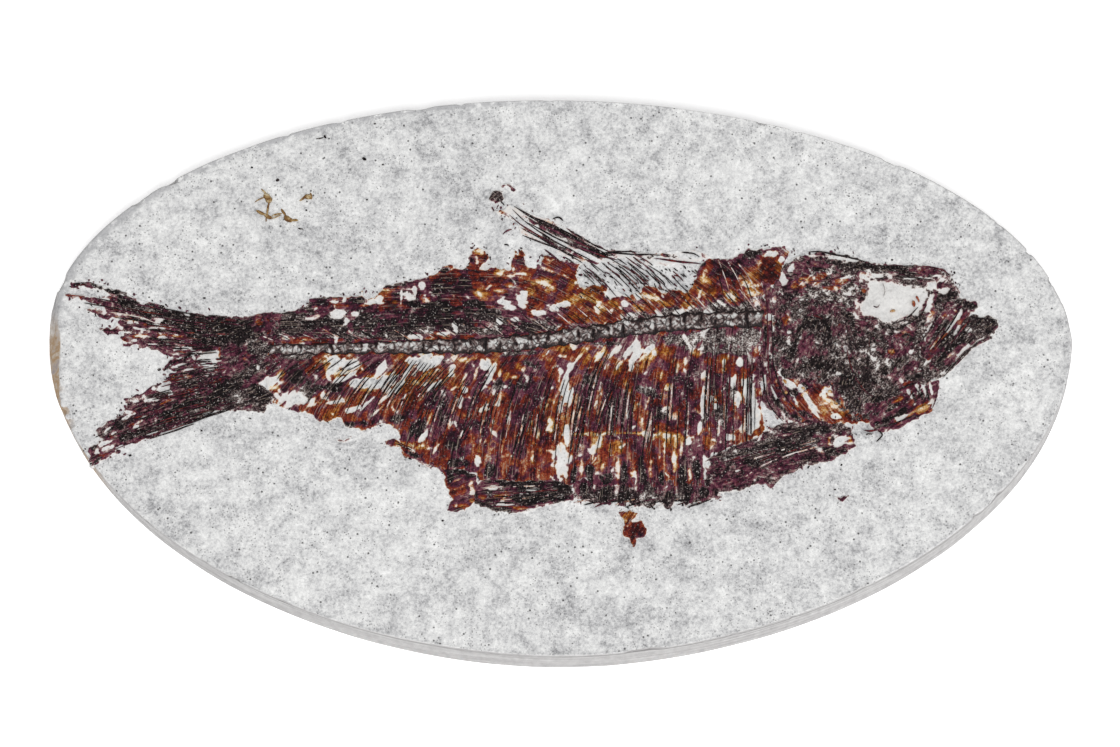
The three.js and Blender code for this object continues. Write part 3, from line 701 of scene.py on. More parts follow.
belly_marks = {
    "honey": [
        (4, -7.5, 2, .22, 0), (8, -7.35, 2.4, .2, 0), (12, -7.6, 2, .28, 0), (15, -8, 1, .4, 0),
        (5, 2.6, 1, .35, 45), (11, 2.4, 1.3, .4, 25), (13.7, -1.4, .4, .35, 0), (-27, .4, .9, .25, 0),
        (-35.2, .2, .4, .35, 40), (-36.3, -1.5, .5, .25, 0), (-12, 2.1, .6, .25, 0), (-16.8, 2.8, 1, .2, 0),
    ],
    "shadow": [
        (9, -2, 4.5, 4, 0), (17, -2, 3, 4.5, 0), (-5, -3, 3.5, 3.5, 0), (-13, -6, 3.5, 5, 50),
        (-30, -1, 5, 2.2, 0), (-19, -5.5, 4, 1.8, 50), (12, -11.5, 6.5, 1.6, 0),
    ],
    "gap": [
        (-28.7, 2.3, .7, .5, 0), (-28.4, 1.2, 1.5, .5, 50), (-26.5, 1.6, 1.3, .55, 0),
        (-27, -.2, 1.6, .3, 25), (-25.6, -1, .8, .5, 0), (-24, -1, 1.5, .5, 0), (-21.8, -.8, 1.2, .8, 20),
        (-22.4, .9, 1, .4, 60), (-36.3, -.6, .9, .5, 0), (-34, -2.9, 1.7, .8, 0), (-16.8, 1.7, .9, .8, 0),
        (-18.5, 2, .7, .5, 0), (-15.5, 1.8, .7, .8, 0), (-15.6, -1.2, 1, .25, 40), (-9.3, 1.3, .5, .7, 60),
        (-8.5, .3, 1, .3, 65), (-11.8, -1.8, .3, .4, 0), (1, -1.2, 1.7, .65, 105), (1.4, 1.1, 1, .35, 62),
        (.2, -4.2, .3, .4, 0), (.6, -11, 2.1, .75, 90), (1.1, -7.5, 1.6, .35, 88), (9.6, 2.7, 1.4, .8, 75),
        (11.3, 3.4, .7, .3, 30), (18.2, -3.4, 2, .3, 86), (17.8, -6.6, 1.3, .25, 88),
        (19.8, -3.9, .35, .35, 0), (22.1, -.7, .7, .5, 60), (22.9, 1.7, .5, .5, 0),
        (24.1, -2, 1.9, .75, 98), (24.4, -5.8, 1.6, .8, 70), (22.7, -3.2, .9, .25, 90),
        (18.7, -11.2, .8, .5, 90), (16.4, -8.4, .4, .4, 0), (-10.1, -10.9, .8, .4, 80),
        (-20.2, -1.4, .9, .3, 55), (-17.1, -7.9, .8, .28, 50), (-12.4, -3.3, .7, .28, 75),
        (-26.2, -4.4, 1, .3, 20), (-24, -3.4, 1.4, .16, 45), (-19, .7, 1.2, .22, 58),
        (21.8, -7.8, .6, .4, 0), (-28.4, -3.4, .8, .14, 10), (-31, -3.3, .7, .3, 60),
    ],
    "cream": [
        (-13.4, .9, .8, .3, 70), (-10.5, 0, .9, .18, 80), (-7.4, .5, .6, .22, 75), (-5.5, -.2, .4, .25, 0),
        (-13.7, -6, .7, .25, 75), (-9, -4.2, .7, .3, 0), (-8.2, -6, .6, .18, 85), (-7.4, -3, .9, .2, 78),
        (-6.3, -6.2, .9, .18, 84), (-3.6, -3.5, .5, .3, 75), (-2.1, -3.9, .6, .35, 0),
        (-9.8, -8.5, .9, .18, 72), (13, 0, .9, .2, 80), (15, 1, .7, .2, 85), (16, 2, .5, .2, 90),
        (18.4, 0, .6, .35, 80), (20.9, 1, .9, .28, 85), (21.3, -4, 1, .2, 88), (20.3, -6.5, 1.2, .2, 88),
        (5.4, -1.8, .9, .18, 92), (11.4, -3.2, .9, .16, 72), (8.8, -6.5, 1.3, .11, 90),
        (4.4, -10, 1, .2, 90), (7.6, -11.9, 1.2, .5, 90), (9.7, -12.8, 1, .26, 90),
        (11.7, -11.8, 1.3, .3, 90), (14.6, -11.2, 1.8, .26, 88), (16.6, -12.5, 1, .26, 88),
        (13.4, -10.6, 1.5, .13, 90), (15.5, -9.8, .8, .2, 90), (5.6, -11.8, .8, .25, 90),
        (3, -11.4, .9, .2, 90), (-13.7, 2, .8, .3, 30), (-12, -.6, .8, .2, 70), (-2.5, -7.4, 1.1, .3, 88),
        (15, -5, .5, .35, 0), (6.9, 3, 1.2, .25, 40), (7.9, 1.6, 1, .2, 45), (5, 2.3, .8, .2, 45),
        (-29.9, -2.3, .7, .3, 20), (-4.3, .9, .5, .25, 60), (-18.1, -.9, .4, .3, 0),
        (-16.3, -5.5, 1.2, .2, 65), (-15.6, -9.6, .8, .2, 60), (-23, -4.6, 1.2, .16, 45),
        (-22, -2.9, 1.4, .2, 45), (-21.1, -1.9, 1.2, .2, 50), (19, -6.5, .8, .14, 90),
        (23.2, -7, .5, .3, 0), (-7, -9, .9, .14, 80), (-3.2, -10.4, 1, .18, 88), (2.6, 2.4, .7, .2, 45),
    ],
    "amber": [
        (-27.3, .5, 1, .35, 0), (-28, .1, .5, .4, 0), (-26.3, -1, .6, .4, 0), (-24.5, -1.8, 1, .25, 0),
        (-21.3, .2, .7, .35, 0), (-35.2, .2, .6, .5, 40), (-36.1, -1.4, .6, .35, 0),
        (-29.3, 1.5, .9, .4, 80), (-21.2, -6.3, .5, .3, 0), (-20, -7.3, .9, .4, 60),
        (-19, -8.8, 1.3, .35, -10), (-17.6, -9.2, .9, .28, 0), (-12, 2.1, .7, .35, 0),
        (-5, 1.2, .6, .45, 0), (-6.6, 0, .6, .35, 70), (-.8, -6.5, .5, .9, 0), (3.4, 1.9, .9, .5, 50),
        (5.6, 2.9, .8, .4, 45), (7.5, .8, .9, .4, 50), (11.8, 2.7, 1.5, .6, 25), (10.4, .9, 1, .5, 45),
        (13.9, -1.4, .5, .45, 0), (6.5, -7.4, 1.3, .25, 0), (9.8, -7.4, 1.6, .22, 0),
        (12.3, -7.7, 1.4, .5, 0), (14.6, -8.3, .9, .9, 0), (5, -8.7, .7, 1, 0), (19, -8.5, .6, .8, 0),
        (17.5, 3, .7, .5, 0), (21, 2.3, .9, .5, 20), (23.4, .4, .4, .7, 0), (7.2, -9.2, .9, .9, 0),
        (-16.5, .3, 1, .3, 40), (-23.6, -.2, 1, .22, 0), (14.8, -11.2, 1.4, .4, 90),
        (9.6, -12.8, 1, .4, 90), (-3.2, -5.8, .5, .7, 0), (-10.6, 2.2, .6, .3, 0), (.9, 3.6, 1.2, .3, 10),
        (3.8, 3.6, 1.2, .3, 10),
    ],
    "rust": [
        (-19.6, -1.2, .9, .9, 45), (-18, -3.5, 1.4, 1.2, 50), (-24, .7, 2, .7, 10), (-1, -9.2, .6, 1.8, 0),
        (-3.8, -8.2, .5, 1.4, 0), (9.8, -3, 1, 1.7, 10), (12.3, -3.5, .8, .6, 0), (8, -.9, 1, .8, 0),
        (8.5, -8.8, 1, 1.2, 0), (-8.8, -2.8, .8, .8, 0), (-1.5, -2, 1, 1, 0), (15.5, -3.4, .8, 1, 0),
        (-29.3, -4.8, 1.2, .6, 0), (-27.5, -4.6, 1.2, .6, 0), (18.8, 1.6, .8, .8, 0),
        (20.5, -2, .7, 1.2, 0), (-12, -5.5, 1, 1, 60), (16.4, -6.5, .7, .8, 0), (11.8, -9.4, .8, 1, 0),
        (-20, -4.6, 1.2, .9, 45), (-6.8, -7.8, .5, 1, 0), (23.2, -2.6, .5, 1, 0), (13.6, 3.3, 1, .4, 0),
        (-2.2, 2.6, 1.2, .4, 0),
    ],
    "maroon": [
        (-16, -4.5, 1.4, 1.6, 50), (-11.5, -3.6, 1, 1.4, 60), (-5.4, -3.8, .9, 1.6, 0),
        (6.5, -2.2, 1, 1.6, 0), (-1, -.8, 1, .8, 0), (14.4, .9, .7, 1.2, 0), (17, -2.8, .7, 1.4, 0),
        (24.4, .9, .9, .8, 0), (-31, -1.8, 1.4, .8, 0), (20, -1, .8, 1.2, 0), (-14, -9, 1, 1.4, 60),
        (3.6, -2, .7, 1.4, 70),
    ],
    "plum": [
        (-32, 0, 2.3, 1, 0), (-27.6, -1.9, 1.9, .8, 0), (-23, 1.1, 1.4, .6, 15), (-14.2, 1.7, .8, .5, 50),
        (12.4, -5, .9, 1.1, 0), (6.3, -4.8, .7, 1.3, 0), (-2.4, -6, .8, 1, 0), (-3.5, 1.7, 1, .6, 0),
        (-4.9, -1.2, 1.4, .8, 0), (-13, -8, 1.3, 1.3, 60), (-15.7, -3.3, .8, 1.4, 60), (4, -.6, 1, .8, 45),
        (16.5, -1.4, .8, .8, 0), (12.3, -9.6, .7, 1, 0), (18.5, -5.6, .6, 1, 0), (-7.7, -1.4, .8, .8, 0),
    ],
    "black": [
        (-25.4, -6.2, 1.6, .4, 8), (-29, -1.4, 1.4, .4, 10), (-17.6, -6.5, 1.2, .8, 55),
        (-18.3, -10.2, 1.3, .35, -20), (-12.4, -11.2, 1.6, .5, 0), (-8.6, -12, .7, .9, 0),
        (-5.4, -12.4, .6, 1.2, 0), (2, -12.6, .4, 1.4, 0), (8.3, -12.6, .5, 1.4, 0), (13, -13, .4, 1.2, 0),
        (15.8, -13, .5, 1, 0), (10.6, -12, .45, 2.4, 0), (4, -12.6, .45, 1.4, 0), (6, -13.3, .7, .7, 0),
        (-20.2, -5.6, 1, .5, 30), (17.5, -12.4, .4, 1.8, 0),
    ],
    "ash": [
        (-33, 2.6, 2.5, .5, 5), (16, 4.6, 3.5, .8, 5), (22, 5.2, 4.8, 1.2, 0), (19, 3.4, 2, .5, 0),
        (22.5, 3.2, 1.6, .5, 0), (5, 4, 2.4, .3, 5), (-31.8, -2.2, .8, 1, 0), (20.6, -5, 1, 1.6, 0),
        (21.6, -2, .8, 1.6, 0), (-5, 2.9, 3, .3, 3), (11.2, -2, .5, 1.6, 70),
    ],
}
belly_skin = relief_sheet("belly_skin", belly_outline, belly_grain, belly_marks, full=0.46, tone=0.16,
                          streaks=0.35, patchy=0.85, seed=21)
settle(belly_skin, "scale_film", "belly_scales")


# ---- Backbone ----
# Thirty-two vertebrae in a row, each a spool a little under 2 mm long: flared rims at both ends, a narrow
# waist, and pale grey crystal where the bone has been replaced, veined with black.
VERTEBRAE = 32
PITCH = 1.95
FIRST_X = -35.6


def vertebra_half_height(x):
    grown = min(max((x + 38) / 43, 0), 1)
    return 0.72 + 0.5 * grown * grown * (3 - 2 * grown)


crystal, start = new_material("vertebra_crystal")
place = start.node("ShaderNodeTexCoord", {}, {}, "Object")
rim = start.node("ShaderNodeAttribute", {"attribute_name": "rim"}, {}, "Fac")
lump = speckle(start, place, 0.75, 4, 0.7)
cells = start.node("ShaderNodeTexVoronoi", {"feature": "DISTANCE_TO_EDGE"}, {
    "Vector": place, "Scale": 1 / (0.8 * MM)}, "Distance")
level = 0.5 + 1.3 * (lump - 0.5) - 0.36 * rim + 0.1
color = level.node("ShaderNodeValToRGB", {"stops": (
    (0.28, srgb(22, 14, 15)), (0.38, srgb(70, 52, 50)), (0.47, srgb(116, 100, 97)),
    (0.57, srgb(156, 150, 148)), (0.72, srgb(202, 201, 199)))}, {"Fac": level})
veins = (1 - cells.between(0.03, 0.12)) * speckle(start, place, 1.1, 1).between(0.4, 0.5)
color = (0.85 * veins).blend(color, srgb(38, 27, 27))
finish(crystal, color, 0.45, lump - 0.4 * veins, 0.18)
crystal.node_tree.nodes["Principled BSDF"].inputs["Specular IOR Level"].default_value = 0.25


def vertebra(index):
    middle = FIRST_X + PITCH * index
    half = vertebra_half_height(middle)
    shape = bmesh.new()
    bmesh.ops.create_grid(shape, x_segments=16, y_segments=16, size=0.5)
    wall = bmesh.ops.extrude_edge_only(shape, edges=[e for e in shape.edges if e.is_boundary])["geom"]
    bmesh.ops.translate(shape, vec=(0, 0, -1), verts=[g for g in wall if isinstance(g, bmesh.types.BMVert)])
    bmesh.ops.holes_fill(shape, edges=[g for g in wall if isinstance(g, bmesh.types.BMEdge)], sides=0)

    def move(p):
        u, v, below = p[:, 0] * 2, p[:, 1] * 2, p[:, 2] < -0.5
        waist = 0.82 + 0.2 * u ** 2
        x = middle + u * PITCH * 0.5
        x, y = x + 0.22 * cloud(x, v, 0.7, seed=43), backbone_y(x) + v * half * waist
        y = y + 0.16 * cloud(x, v, 0.8, seed=40)
        round_top = np.sqrt(np.clip(1 - (0.92 * v) ** 2, 0, 1))
        flare = np.exp(-((np.abs(u) - 0.88) / 0.14) ** 2)
        ridge = np.exp(-(v / 0.22) ** 2) + 0.6 * np.exp(-((np.abs(v) - 0.62) / 0.16) ** 2)
        height = 0.10 + 0.22 * round_top + 0.12 * flare + 0.06 * ridge + 0.07 * cloud(x, y, 0.4, seed=41)
        z = np.where(below, face_z - BED_DEPTH, face_z + height)
        notch = np.clip((np.abs(v) - 0.35 - 0.5 * np.abs(u)) / 0.3, 0, 1)
        uneven = 0.6 + 0.8 * cloud(x, y, 0.7, seed=45)
        crossing = np.exp(-((np.abs(u) - np.abs(v)) / 0.14) ** 2) * (np.abs(u) < 0.85)
        rim = uneven * (1.3 * np.clip((np.abs(u) - 0.68) / 0.25, 0, 1) + 0.8 * crossing) + 0.8 * notch
        rim = rim + np.clip((np.abs(v) - 0.78) / 0.2, 0, 1) * 0.8 + 0.4 * cloud(x, y, 0.45, seed=42)
        return np.stack([x, y, z], 1), {"rim": rim}

    piece = build(f"backbone_{index + 1:02d}", shape, move)
    settle(piece, "pale_bone", f"vertebra_{index + 1:02d}", finish_with=crystal)


for number in range(VERTEBRAE):
    vertebra(number)


# ---- Ribs and spines ----
# Thin rods of black bone, split lengthwise so that each shows as dark lines with pale stone between. Ribs
# hang in bundles from the vertebrae and lean back; finer spines stand along the back and below the tail end.
RINGS = 16
SIDES = 6
ROD_DEPTH = 0.25  # how deep a rod's keel is bedded below the face


def smooth_line(points, count):
    """Evenly spaced places along a line through a few points, with its corners rounded off."""
    line = np.array(points, float)
    for _ in range(2 if len(points) > 2 else 0):
        cut = np.stack([0.75 * line[:-1] + 0.25 * line[1:], 0.25 * line[:-1] + 0.75 * line[1:]], 1)
        line = np.concatenate([line[:1], cut.reshape(-1, 2), line[-1:]])
    gone = np.concatenate([[0], np.cumsum(np.hypot(*np.diff(line, axis=0).T))])
    t = np.linspace(0, gone[-1], count)
    return np.stack([np.interp(t, gone, line[:, 0]), np.interp(t, gone, line[:, 1])], 1)


def strands(name, paths, above=0.16, wander=0.07, seed=0):
    """Thin tapering rods lying on the face, joined in one mesh. Each path is (points, width, film, tone)."""
    shape = bmesh.new()
    for _ in paths:
        bmesh.ops.create_grid(shape, x_segments=RINGS, y_segments=SIDES, size=0.5)

    def move(p):
        p = p.reshape(len(paths), -1, 3)
        ring = np.round((p[:, :, 0] + 0.5) * RINGS).astype(int)
        lines = np.array([smooth_line(path[0], RINGS + 1) for path in paths])
        heading = np.gradient(lines, axis=1)
        length = np.hypot(heading[:, :, 0], heading[:, :, 1])[:, :, None] + 1e-9
        side = np.stack([-heading[:, :, 1], heading[:, :, 0]], 2) / length
        pick = np.arange(len(paths))[:, None]
        middle, side = lines[pick, ring], side[pick, ring]
        t = ring / RINGS
        own = np.arange(len(paths))[:, None] * 3.7 + 0 * t
        width, left, dark = (np.array([path[k] for path in paths])[:, None] for k in (1, 2, 3))
        reach = t * length[:, :1, 0] * RINGS
        radius = width / 2 * np.clip(1 - np.abs(2 * t - 1) ** 3, 0, 1) ** 0.6
        radius = radius * (0.95 + 0.35 * cloud(own, reach, 1, 0.7, seed))
        turn = (p[:, :, 1] + 0.5) * 2 * math.pi
        sideways = radius * np.cos(turn) + wander * cloud(own, reach, 1, 1.6, seed + 1) * (t * (1 - t) * 4)
        x = middle[:, :, 0] + side[:, :, 0] * sideways
        y = middle[:, :, 1] + side[:, :, 1] * sideways
        z = face_z + above * (0.6 + 0.4 * np.sin(t * math.pi)) + 0.8 * radius * np.sin(turn)
        z = np.where(np.sin(turn) < -0.1, face_z - ROD_DEPTH, z)
        film = left + 0.25 * cloud(own, reach, 1, 0.5, seed + 2)
        tone = dark + 0.3 * cloud(own, reach, 1, 1.1, seed + 3)
        grain = np.stack([reach, own + turn * 0.05, 0 * t], 2)
        points = np.stack([x, y, z], 2).reshape(-1, 3)
        return points, {"film": film.ravel(), "tone": tone.ravel(), "grain": grain.reshape(-1, 3)}

    return build(name, shape, move)


chance = np.random.default_rng(5)
DARK, BROWN, PALE = (1.0, 1.3), (0.7, 0.3), (-0.08, 0.3)


def rib_line(root, top, bottom, shift=0.0):
    """A rib from root on the backbone, from top to bottom millimetres below it."""
    fall = np.linspace(top, bottom, 6)
    lean = rib_lean(root) * (1 - np.exp(-fall / 6))
    return [(root - back + shift, float(backbone_y(root)) - down) for back, down in zip(lean, fall)]


def bundle(line, count, gap, width):
    """Rods side by side along one line, dark and pale by turns."""
    made = []
    for k in range(count):
        off = (k - (count - 1) / 2) * gap
        kind = (DARK, PALE, DARK, BROWN)[k % 4]
        near, far = (0.3, 0.75) if kind is PALE else (0, 1)
        near, far = near + chance.uniform(0, 0.25), far - chance.uniform(0, 0.3)
        path = smooth_line([(x + off, y) for x, y in line], 12)
        path = path[int(near * 11):max(int(far * 11), int(near * 11) + 3) + 1]
        made.append((path, width * chance.uniform(0.6, 1.2), *kind))
    return made


rib_paths = []
for number in range(18):
    root = -9.2 + PITCH * number + chance.uniform(-0.3, 0.3)
    deep = float(np.interp(root, (-10, -2, 6, 24), (11.5, 16.5, 18.5, 19)))
    rib_paths += bundle(rib_line(root, chance.uniform(1.2, 6), deep), int(chance.integers(2, 6)), 0.26,
                        0.24)
    rib_paths += bundle(rib_line(root + 0.9, chance.uniform(4, 9), deep - 1), 1, 0.3, 0.15)
for number in range(9):
    root = -22.4 + 1.5 * number
    rib_paths += bundle(rib_line(root, 2.5 + 1.2 * (number % 2), 8.5 + 0.5 * number), 3, 0.28, 0.16)
for start_x, start_y, end_x, end_y in (
        (13.4, 0.5, 10.6, -14), (8.5, 2.5, 3.9, -12), (5, 2, 1.5, -13), (-2.8, -2.5, -5.8, -13.5),
        (-10, -4, -13, -10.5)):
    bend = ((start_x + 2 * end_x) / 3, (start_y + end_y) / 2)
    rib_paths += bundle([(start_x, start_y), bend, (end_x, end_y)], 5, 0.24, 0.24)
ribs = strands("ribs", rib_paths, seed=50)
settle(ribs, "dark_bone")

spine_paths = []
for number in range(64):
    root = -36 + 0.97 * number
    slant = math.radians(float(np.interp(root, (-36, -10, 6, 26), (158, 146, 138, 128))))
    long = chance.uniform(2.2, 4.6)
    low = float(backbone_y(root)) + 0.8 + chance.uniform(0, 0.6)
    tip = (root + long * math.cos(slant), low + long * math.sin(slant))
    kind = DARK if number % 3 else PALE
    spine_paths.append(([(root, low), tip], chance.uniform(0.1, 0.18), *kind))
for number in range(16):
    root = -22.4 + 0.42 * number
    top = (root + 2.6 + 0.05 * number, 2.4 - 0.1 * number)
    spine_paths.append(([top, (root - 0.6, -2.6 - 0.06 * number)], 0.17, *DARK))
for number in range(12):
    root = -36 + 1.25 * number
    tip = (root - chance.uniform(2, 3.5), 2.2 - chance.uniform(1.5, 2.8))
    spine_paths.append(([(root, 2.3), tip], 0.14, *DARK))
spines = strands("spines", spine_paths, seed=60)
settle(spines, "dark_bone")


# ---- Tail ----
# A stalk of crowded bone and a forked fin of many fine rays. The rays lie close along the outer edges and
# come apart towards the fork, where the stone shows between them.
stalk_outline = [
    (-36.4, 8.3), (-38.5, 7.9), (-40.2, 7.5), (-42, 7.6), (-43.9, 7.7), (-45, 6.6), (-45.2, 5),
    (-45.4, 3.8), (-46.2, 2.9), (-46.4, 1.6), (-46.2, 0.4), (-45.6, -1), (-45.2, -3), (-44.2, -4.6),
    (-42, -4.4), (-41, -4.5), (-38.6, -4.4), (-37.3, -4.7), (-36.4, -3.6), (-35.2, -2.8), (-36.8, -1.9),
    (-37.9, -1), (-37, -.2), (-35.6, .6), (-34.6, 1.8), (-35, 4),
]
stalk_marks = {
    "gap": [
        (-44.4, 2.3, 1.05, 1.2, 0), (-41, 6.55, 1, .22, -22), (-45.6, 0.3, .6, .2, 10),
        (-44.2, 0.1, .5, .14, 0), (-38, 1, .2, .4, 0), (-45.8, 3.6, .5, .2, 20),
    ],
    "black": [
        (-39.8, 5.2, 1.6, .8, -35), (-41.6, 5.4, 2.2, .9, -30), (-41.4, 7.2, 1.6, .25, -8),
        (-43.6, 6.4, 1.4, .9, 0), (-43.4, 4.4, 1.4, .5, 0), (-41.6, -1.4, 2.6, .9, 25),
        (-43.6, -3.2, 1.6, .9, 25), (-44.9, 0.75, .4, .2, 0), (-38.4, -2, 1.4, .7, 15),
    ],
    "amber": [(-43, 2.9, .2, .8, 0), (-38, 6.8, .4, .3, 0)],
    "rust": [
        (-41, 3, 1.4, .7, 0), (-42.4, 1, .7, 1, 0), (-39, 2.2, 1, .5, 0), (-44.2, 5.2, .8, .2, 0),
        (-42.8, -.6, .8, .4, 30), (-44.6, 6.9, 1, .3, 0),
    ],
    "maroon": [(-38.4, 6.2, 1.6, .7, 0), (-39.6, 7, 1, .3, 0), (-37.4, 5.4, 1, .4, 0)],
    "ash": [(-37.6, 3.6, 1.4, .7, 0), (-39.4, .4, 1.6, .5, 20), (-41, -2.8, 2, .6, 25)],
    "plum": [(-39.4, -3.6, 1.2, .5, 0), (-37, -2.6, .7, .8, 0)],
}
stalk = relief_sheet("tail_stalk", stalk_outline, lie(20, 2.5), stalk_marks, full=0.6, tone=0.85, lift=0.3,
                     streaks=0.35, speck=0.4, blotches=0.25, seed=71)
settle(stalk, "dark_bone", "tail_root")

upper_outline = [
    (-40, 7.5), (-43.9, 7.7), (-46, 7.95), (-48, 8.15), (-50, 8.8), (-52, 9.5), (-54, 10.1), (-55, 10.8),
    (-57, 11.3), (-58, 11.7), (-59.8, 12), (-61.9, 12), (-61.9, 11.5), (-60.2, 11.4), (-58.2, 11),
    (-57.4, 10.5), (-58.4, 10), (-60.2, 10.5), (-62.8, 10.6), (-61.8, 10.1), (-60.2, 9.9), (-58.6, 9.5),
    (-58, 9), (-60.2, 8.7), (-58.7, 8), (-57.6, 7.5), (-56, 7.2), (-56.6, 6.2), (-58.2, 6.1), (-57.4, 5.6),
    (-55.4, 5.6), (-55.5, 4.9), (-55.2, 4.1), (-52.6, 3.6), (-50, 3), (-48.4, 2.4), (-46, 3.2), (-43, 3.6),
    (-42, 5),
]
upper_marks = {
    "gap": [
        (-53.2, 6.1, .9, .14, -12), (-50, 4.75, .9, .26, -6), (-47.6, 3.6, 1, .2, 8),
        (-50.6, 6.3, .8, .1, -35), (-57.6, 9.9, .7, .2, -10), (-56.2, 9.5, .6, .16, -18),
        (-59.2, 10.9, .8, .25, -15), (-54.6, 5.6, .7, .12, -6), (-53.8, 4.6, .4, .1, -5),
        (-60.6, 11.5, .4, .12, -10), (-53.6, 6.9, .35, .12, -15), (-51.6, 4.1, .7, .1, -5),
        (-48.8, 5.45, .5, .08, -8), (-59.6, 9.2, .8, .2, -10), (-56.9, 6.6, .9, .22, 0),
    ],
    "cream": [
        (-54.8, 7.85, 2, .09, -8), (-52, 7.2, 1.6, .09, -18), (-50.4, 6.35, .6, .08, -40),
        (-55.2, 10.45, .5, .1, -10), (-52.9, 5.1, .6, .12, 0),
    ],
    "amber": [
        (-54.2, 7.2, .6, .22, -10), (-52.6, 6.65, .5, .18, -15), (-53.4, 5.1, 1, .2, 0),
        (-49, 5.2, 1.8, .1, -8), (-47, 3.9, .8, .14, 0), (-50.6, 5, .5, .18, 0), (-56.2, 7.6, .6, .12, 0),
    ],
    "rust": [
        (-59, 8.4, .8, .2, -20), (-56.4, 10, .8, .22, -14), (-47.4, 4.9, 1.4, .14, -8),
        (-61.4, 10.3, .9, .3, 0), (-51.4, 5.3, 1, .2, 0), (-56.9, 5.95, 1, .25, 0), (-55, 4.6, .4, .4, 0),
    ],
    "maroon": [(-57.2, 9, 1.2, .3, -10), (-61.5, 11.7, .5, .3, 0), (-55.6, 9, 1, .25, -10)],
    "black": [
        (-45.6, 7, 2.6, .8, -8), (-45.2, 5.4, 2.2, 1, -10), (-49, 7.4, 2.4, 1, -18),
        (-47.6, 6.5, 2, .5, -14), (-52, 8.5, 2.2, .8, -20), (-54.8, 9.3, 1.2, .65, -20),
        (-52.6, 7.05, 1.8, .12, -20), (-58, 11.4, 1.4, .3, -18), (-55.6, 10.6, .8, .25, -15),
        (-60.9, 11.8, .6, .2, 0), (-43.6, 6.4, 1.6, 1, 0),
    ],
}
upper_lobe = relief_sheet("tail_fin_upper", upper_outline, lie(166, 2.5), upper_marks, full=0.48, tone=0.7,
                          patchy=0.35,
                          streaks=0.5, blotches=0.4, speck=0.5, ragged=0.55, seed=81)
settle(upper_lobe, "dark_bone", "tail_upper_lobe")

lower_outline = [
    (-43.4, 0.2), (-44.6, 1), (-46, 2.2), (-47.4, 2.9), (-49.2, 2.1), (-50.3, 0.7), (-49, 1.1),
    (-48.2, 0.4), (-49.2, 0.1), (-49.2, -2), (-50.4, -2.2), (-50.4, -1), (-51.4, -1.4), (-52.4, -2.3),
    (-54.9, -3), (-54.6, -3.8), (-55.2, -5), (-56.1, -5.6), (-57.5, -6.1), (-58.4, -7.2), (-57.6, -8.2),
    (-59.3, -9.3), (-59.1, -10.3), (-58.9, -11.5), (-57.2, -10.7), (-55.4, -9.7), (-56.4, -9.3),
    (-55.4, -8.7), (-53.5, -8.6), (-51.6, -8), (-49.6, -7), (-47.8, -6.1), (-45.7, -5.4), (-43.6, -4.6),
    (-41.4, -4.4), (-41.6, -2),
]
lower_marks = {
    "gap": [
        (-51.3, -3.05, .6, .2, 10), (-46.6, .9, .7, .16, 15), (-48, -.6, .4, .08, 15),
        (-53.4, -6.6, .4, .16, 25), (-53.4, -3.3, .4, .16, 0), (-57, -6.9, .6, .12, 35),
        (-57.2, -8.6, .7, .2, 20), (-56.2, -7.4, .5, .08, 30), (-45.2, 1.7, .5, .3, 10),
        (-58.3, -9.7, .3, .3, 40), (-54.8, -5.4, .6, .1, 30), (-47.8, 1.4, .8, .2, 15),
        (-52.6, -5.4, .6, .1, 30), (-57.4, -9.4, .5, .2, 30), (-45, -.3, .9, .08, 10),
        (-51.4, -7.4, .7, .1, 20), (-54.2, -4.6, .5, .12, 0),
    ],
    "cream": [
        (-52.9, -5.9, .7, .14, 25), (-51.2, -6.6, .8, .1, 25), (-46.8, -.1, .6, .3, 0),
        (-50.4, -5.5, .8, .06, 28),
    ],
    "amber": [(-48.7, -.2, .3, .35, 0), (-54, -6.3, .5, .16, 30), (-49.8, -3.4, .6, .1, 25)],
    "rust": [
        (-47.4, -2.4, 1.6, .4, 15), (-50.6, -4.3, 1.2, .4, 25), (-53.4, -4.6, 1, .4, 20),
        (-51.6, -1.9, .5, .4, 0), (-48.2, 2, 1, .2, 20), (-56, -7.6, 1, .3, 15), (-49.4, -2.6, .5, .3, 0),
        (-57.6, -10.3, .8, .25, 30),
    ],
    "plum": [(-57, -7.3, .8, .4, 30), (-47, -1, 1.4, .35, 20), (-45.4, -1.8, 1.4, .3, 20)],
    "black": [
        (-45.6, -3.6, 2.4, 1, 22), (-48.6, -4.9, 2, .8, 26), (-43.4, -1.6, 1.8, .7, 25),
        (-52, -6.9, 1.6, .25, 20), (-46.8, 2.5, 1, .12, 20), (-54, -7.8, 1.6, .35, 12),
        (-58.2, -10.8, .7, .2, 35), (-49.6, 1, .7, .08, 45), (-58.8, -9.2, .3, .4, 0),
        (-55.4, -6.2, .7, .5, 30), (-50, -5.9, 1.6, .4, 25),
    ],
}
lower_lobe = relief_sheet("tail_fin_lower", lower_outline, lie(26, 2.5), lower_marks, full=0.5, tone=0.75,
                          patchy=0.35,
                          streaks=0.5, blotches=0.4, speck=0.5, ragged=0.55, seed=91)
settle(lower_lobe, "dark_bone", "tail_lower_lobe")


def fan(roots, tips, count, width, kinds, bow=0.0):
    """Broken fin rays that spread from a line of roots to a line of tips."""
    made = []
    for k, (root, tip) in enumerate(zip(smooth_line(roots, count), smooth_line(tips, count))):
        root = root + chance.uniform(-0.5, 0.5, 2) * (1, 0.3)
        tip = tip + chance.uniform(-1.2, 0.6, 2) * (1, 0.4)
        whole = smooth_line([root, (root + tip) / 2 + (0, bow), tip], 24)
        first = int(chance.uniform(0, 0.75) ** 1.4 * 23)
        piece = whole[first:first + int(chance.integers(4, 11))]
        if len(piece) > 3:
            made.append((piece, width * chance.uniform(0.5, 1.2), *kinds[k % len(kinds)]))
    return made


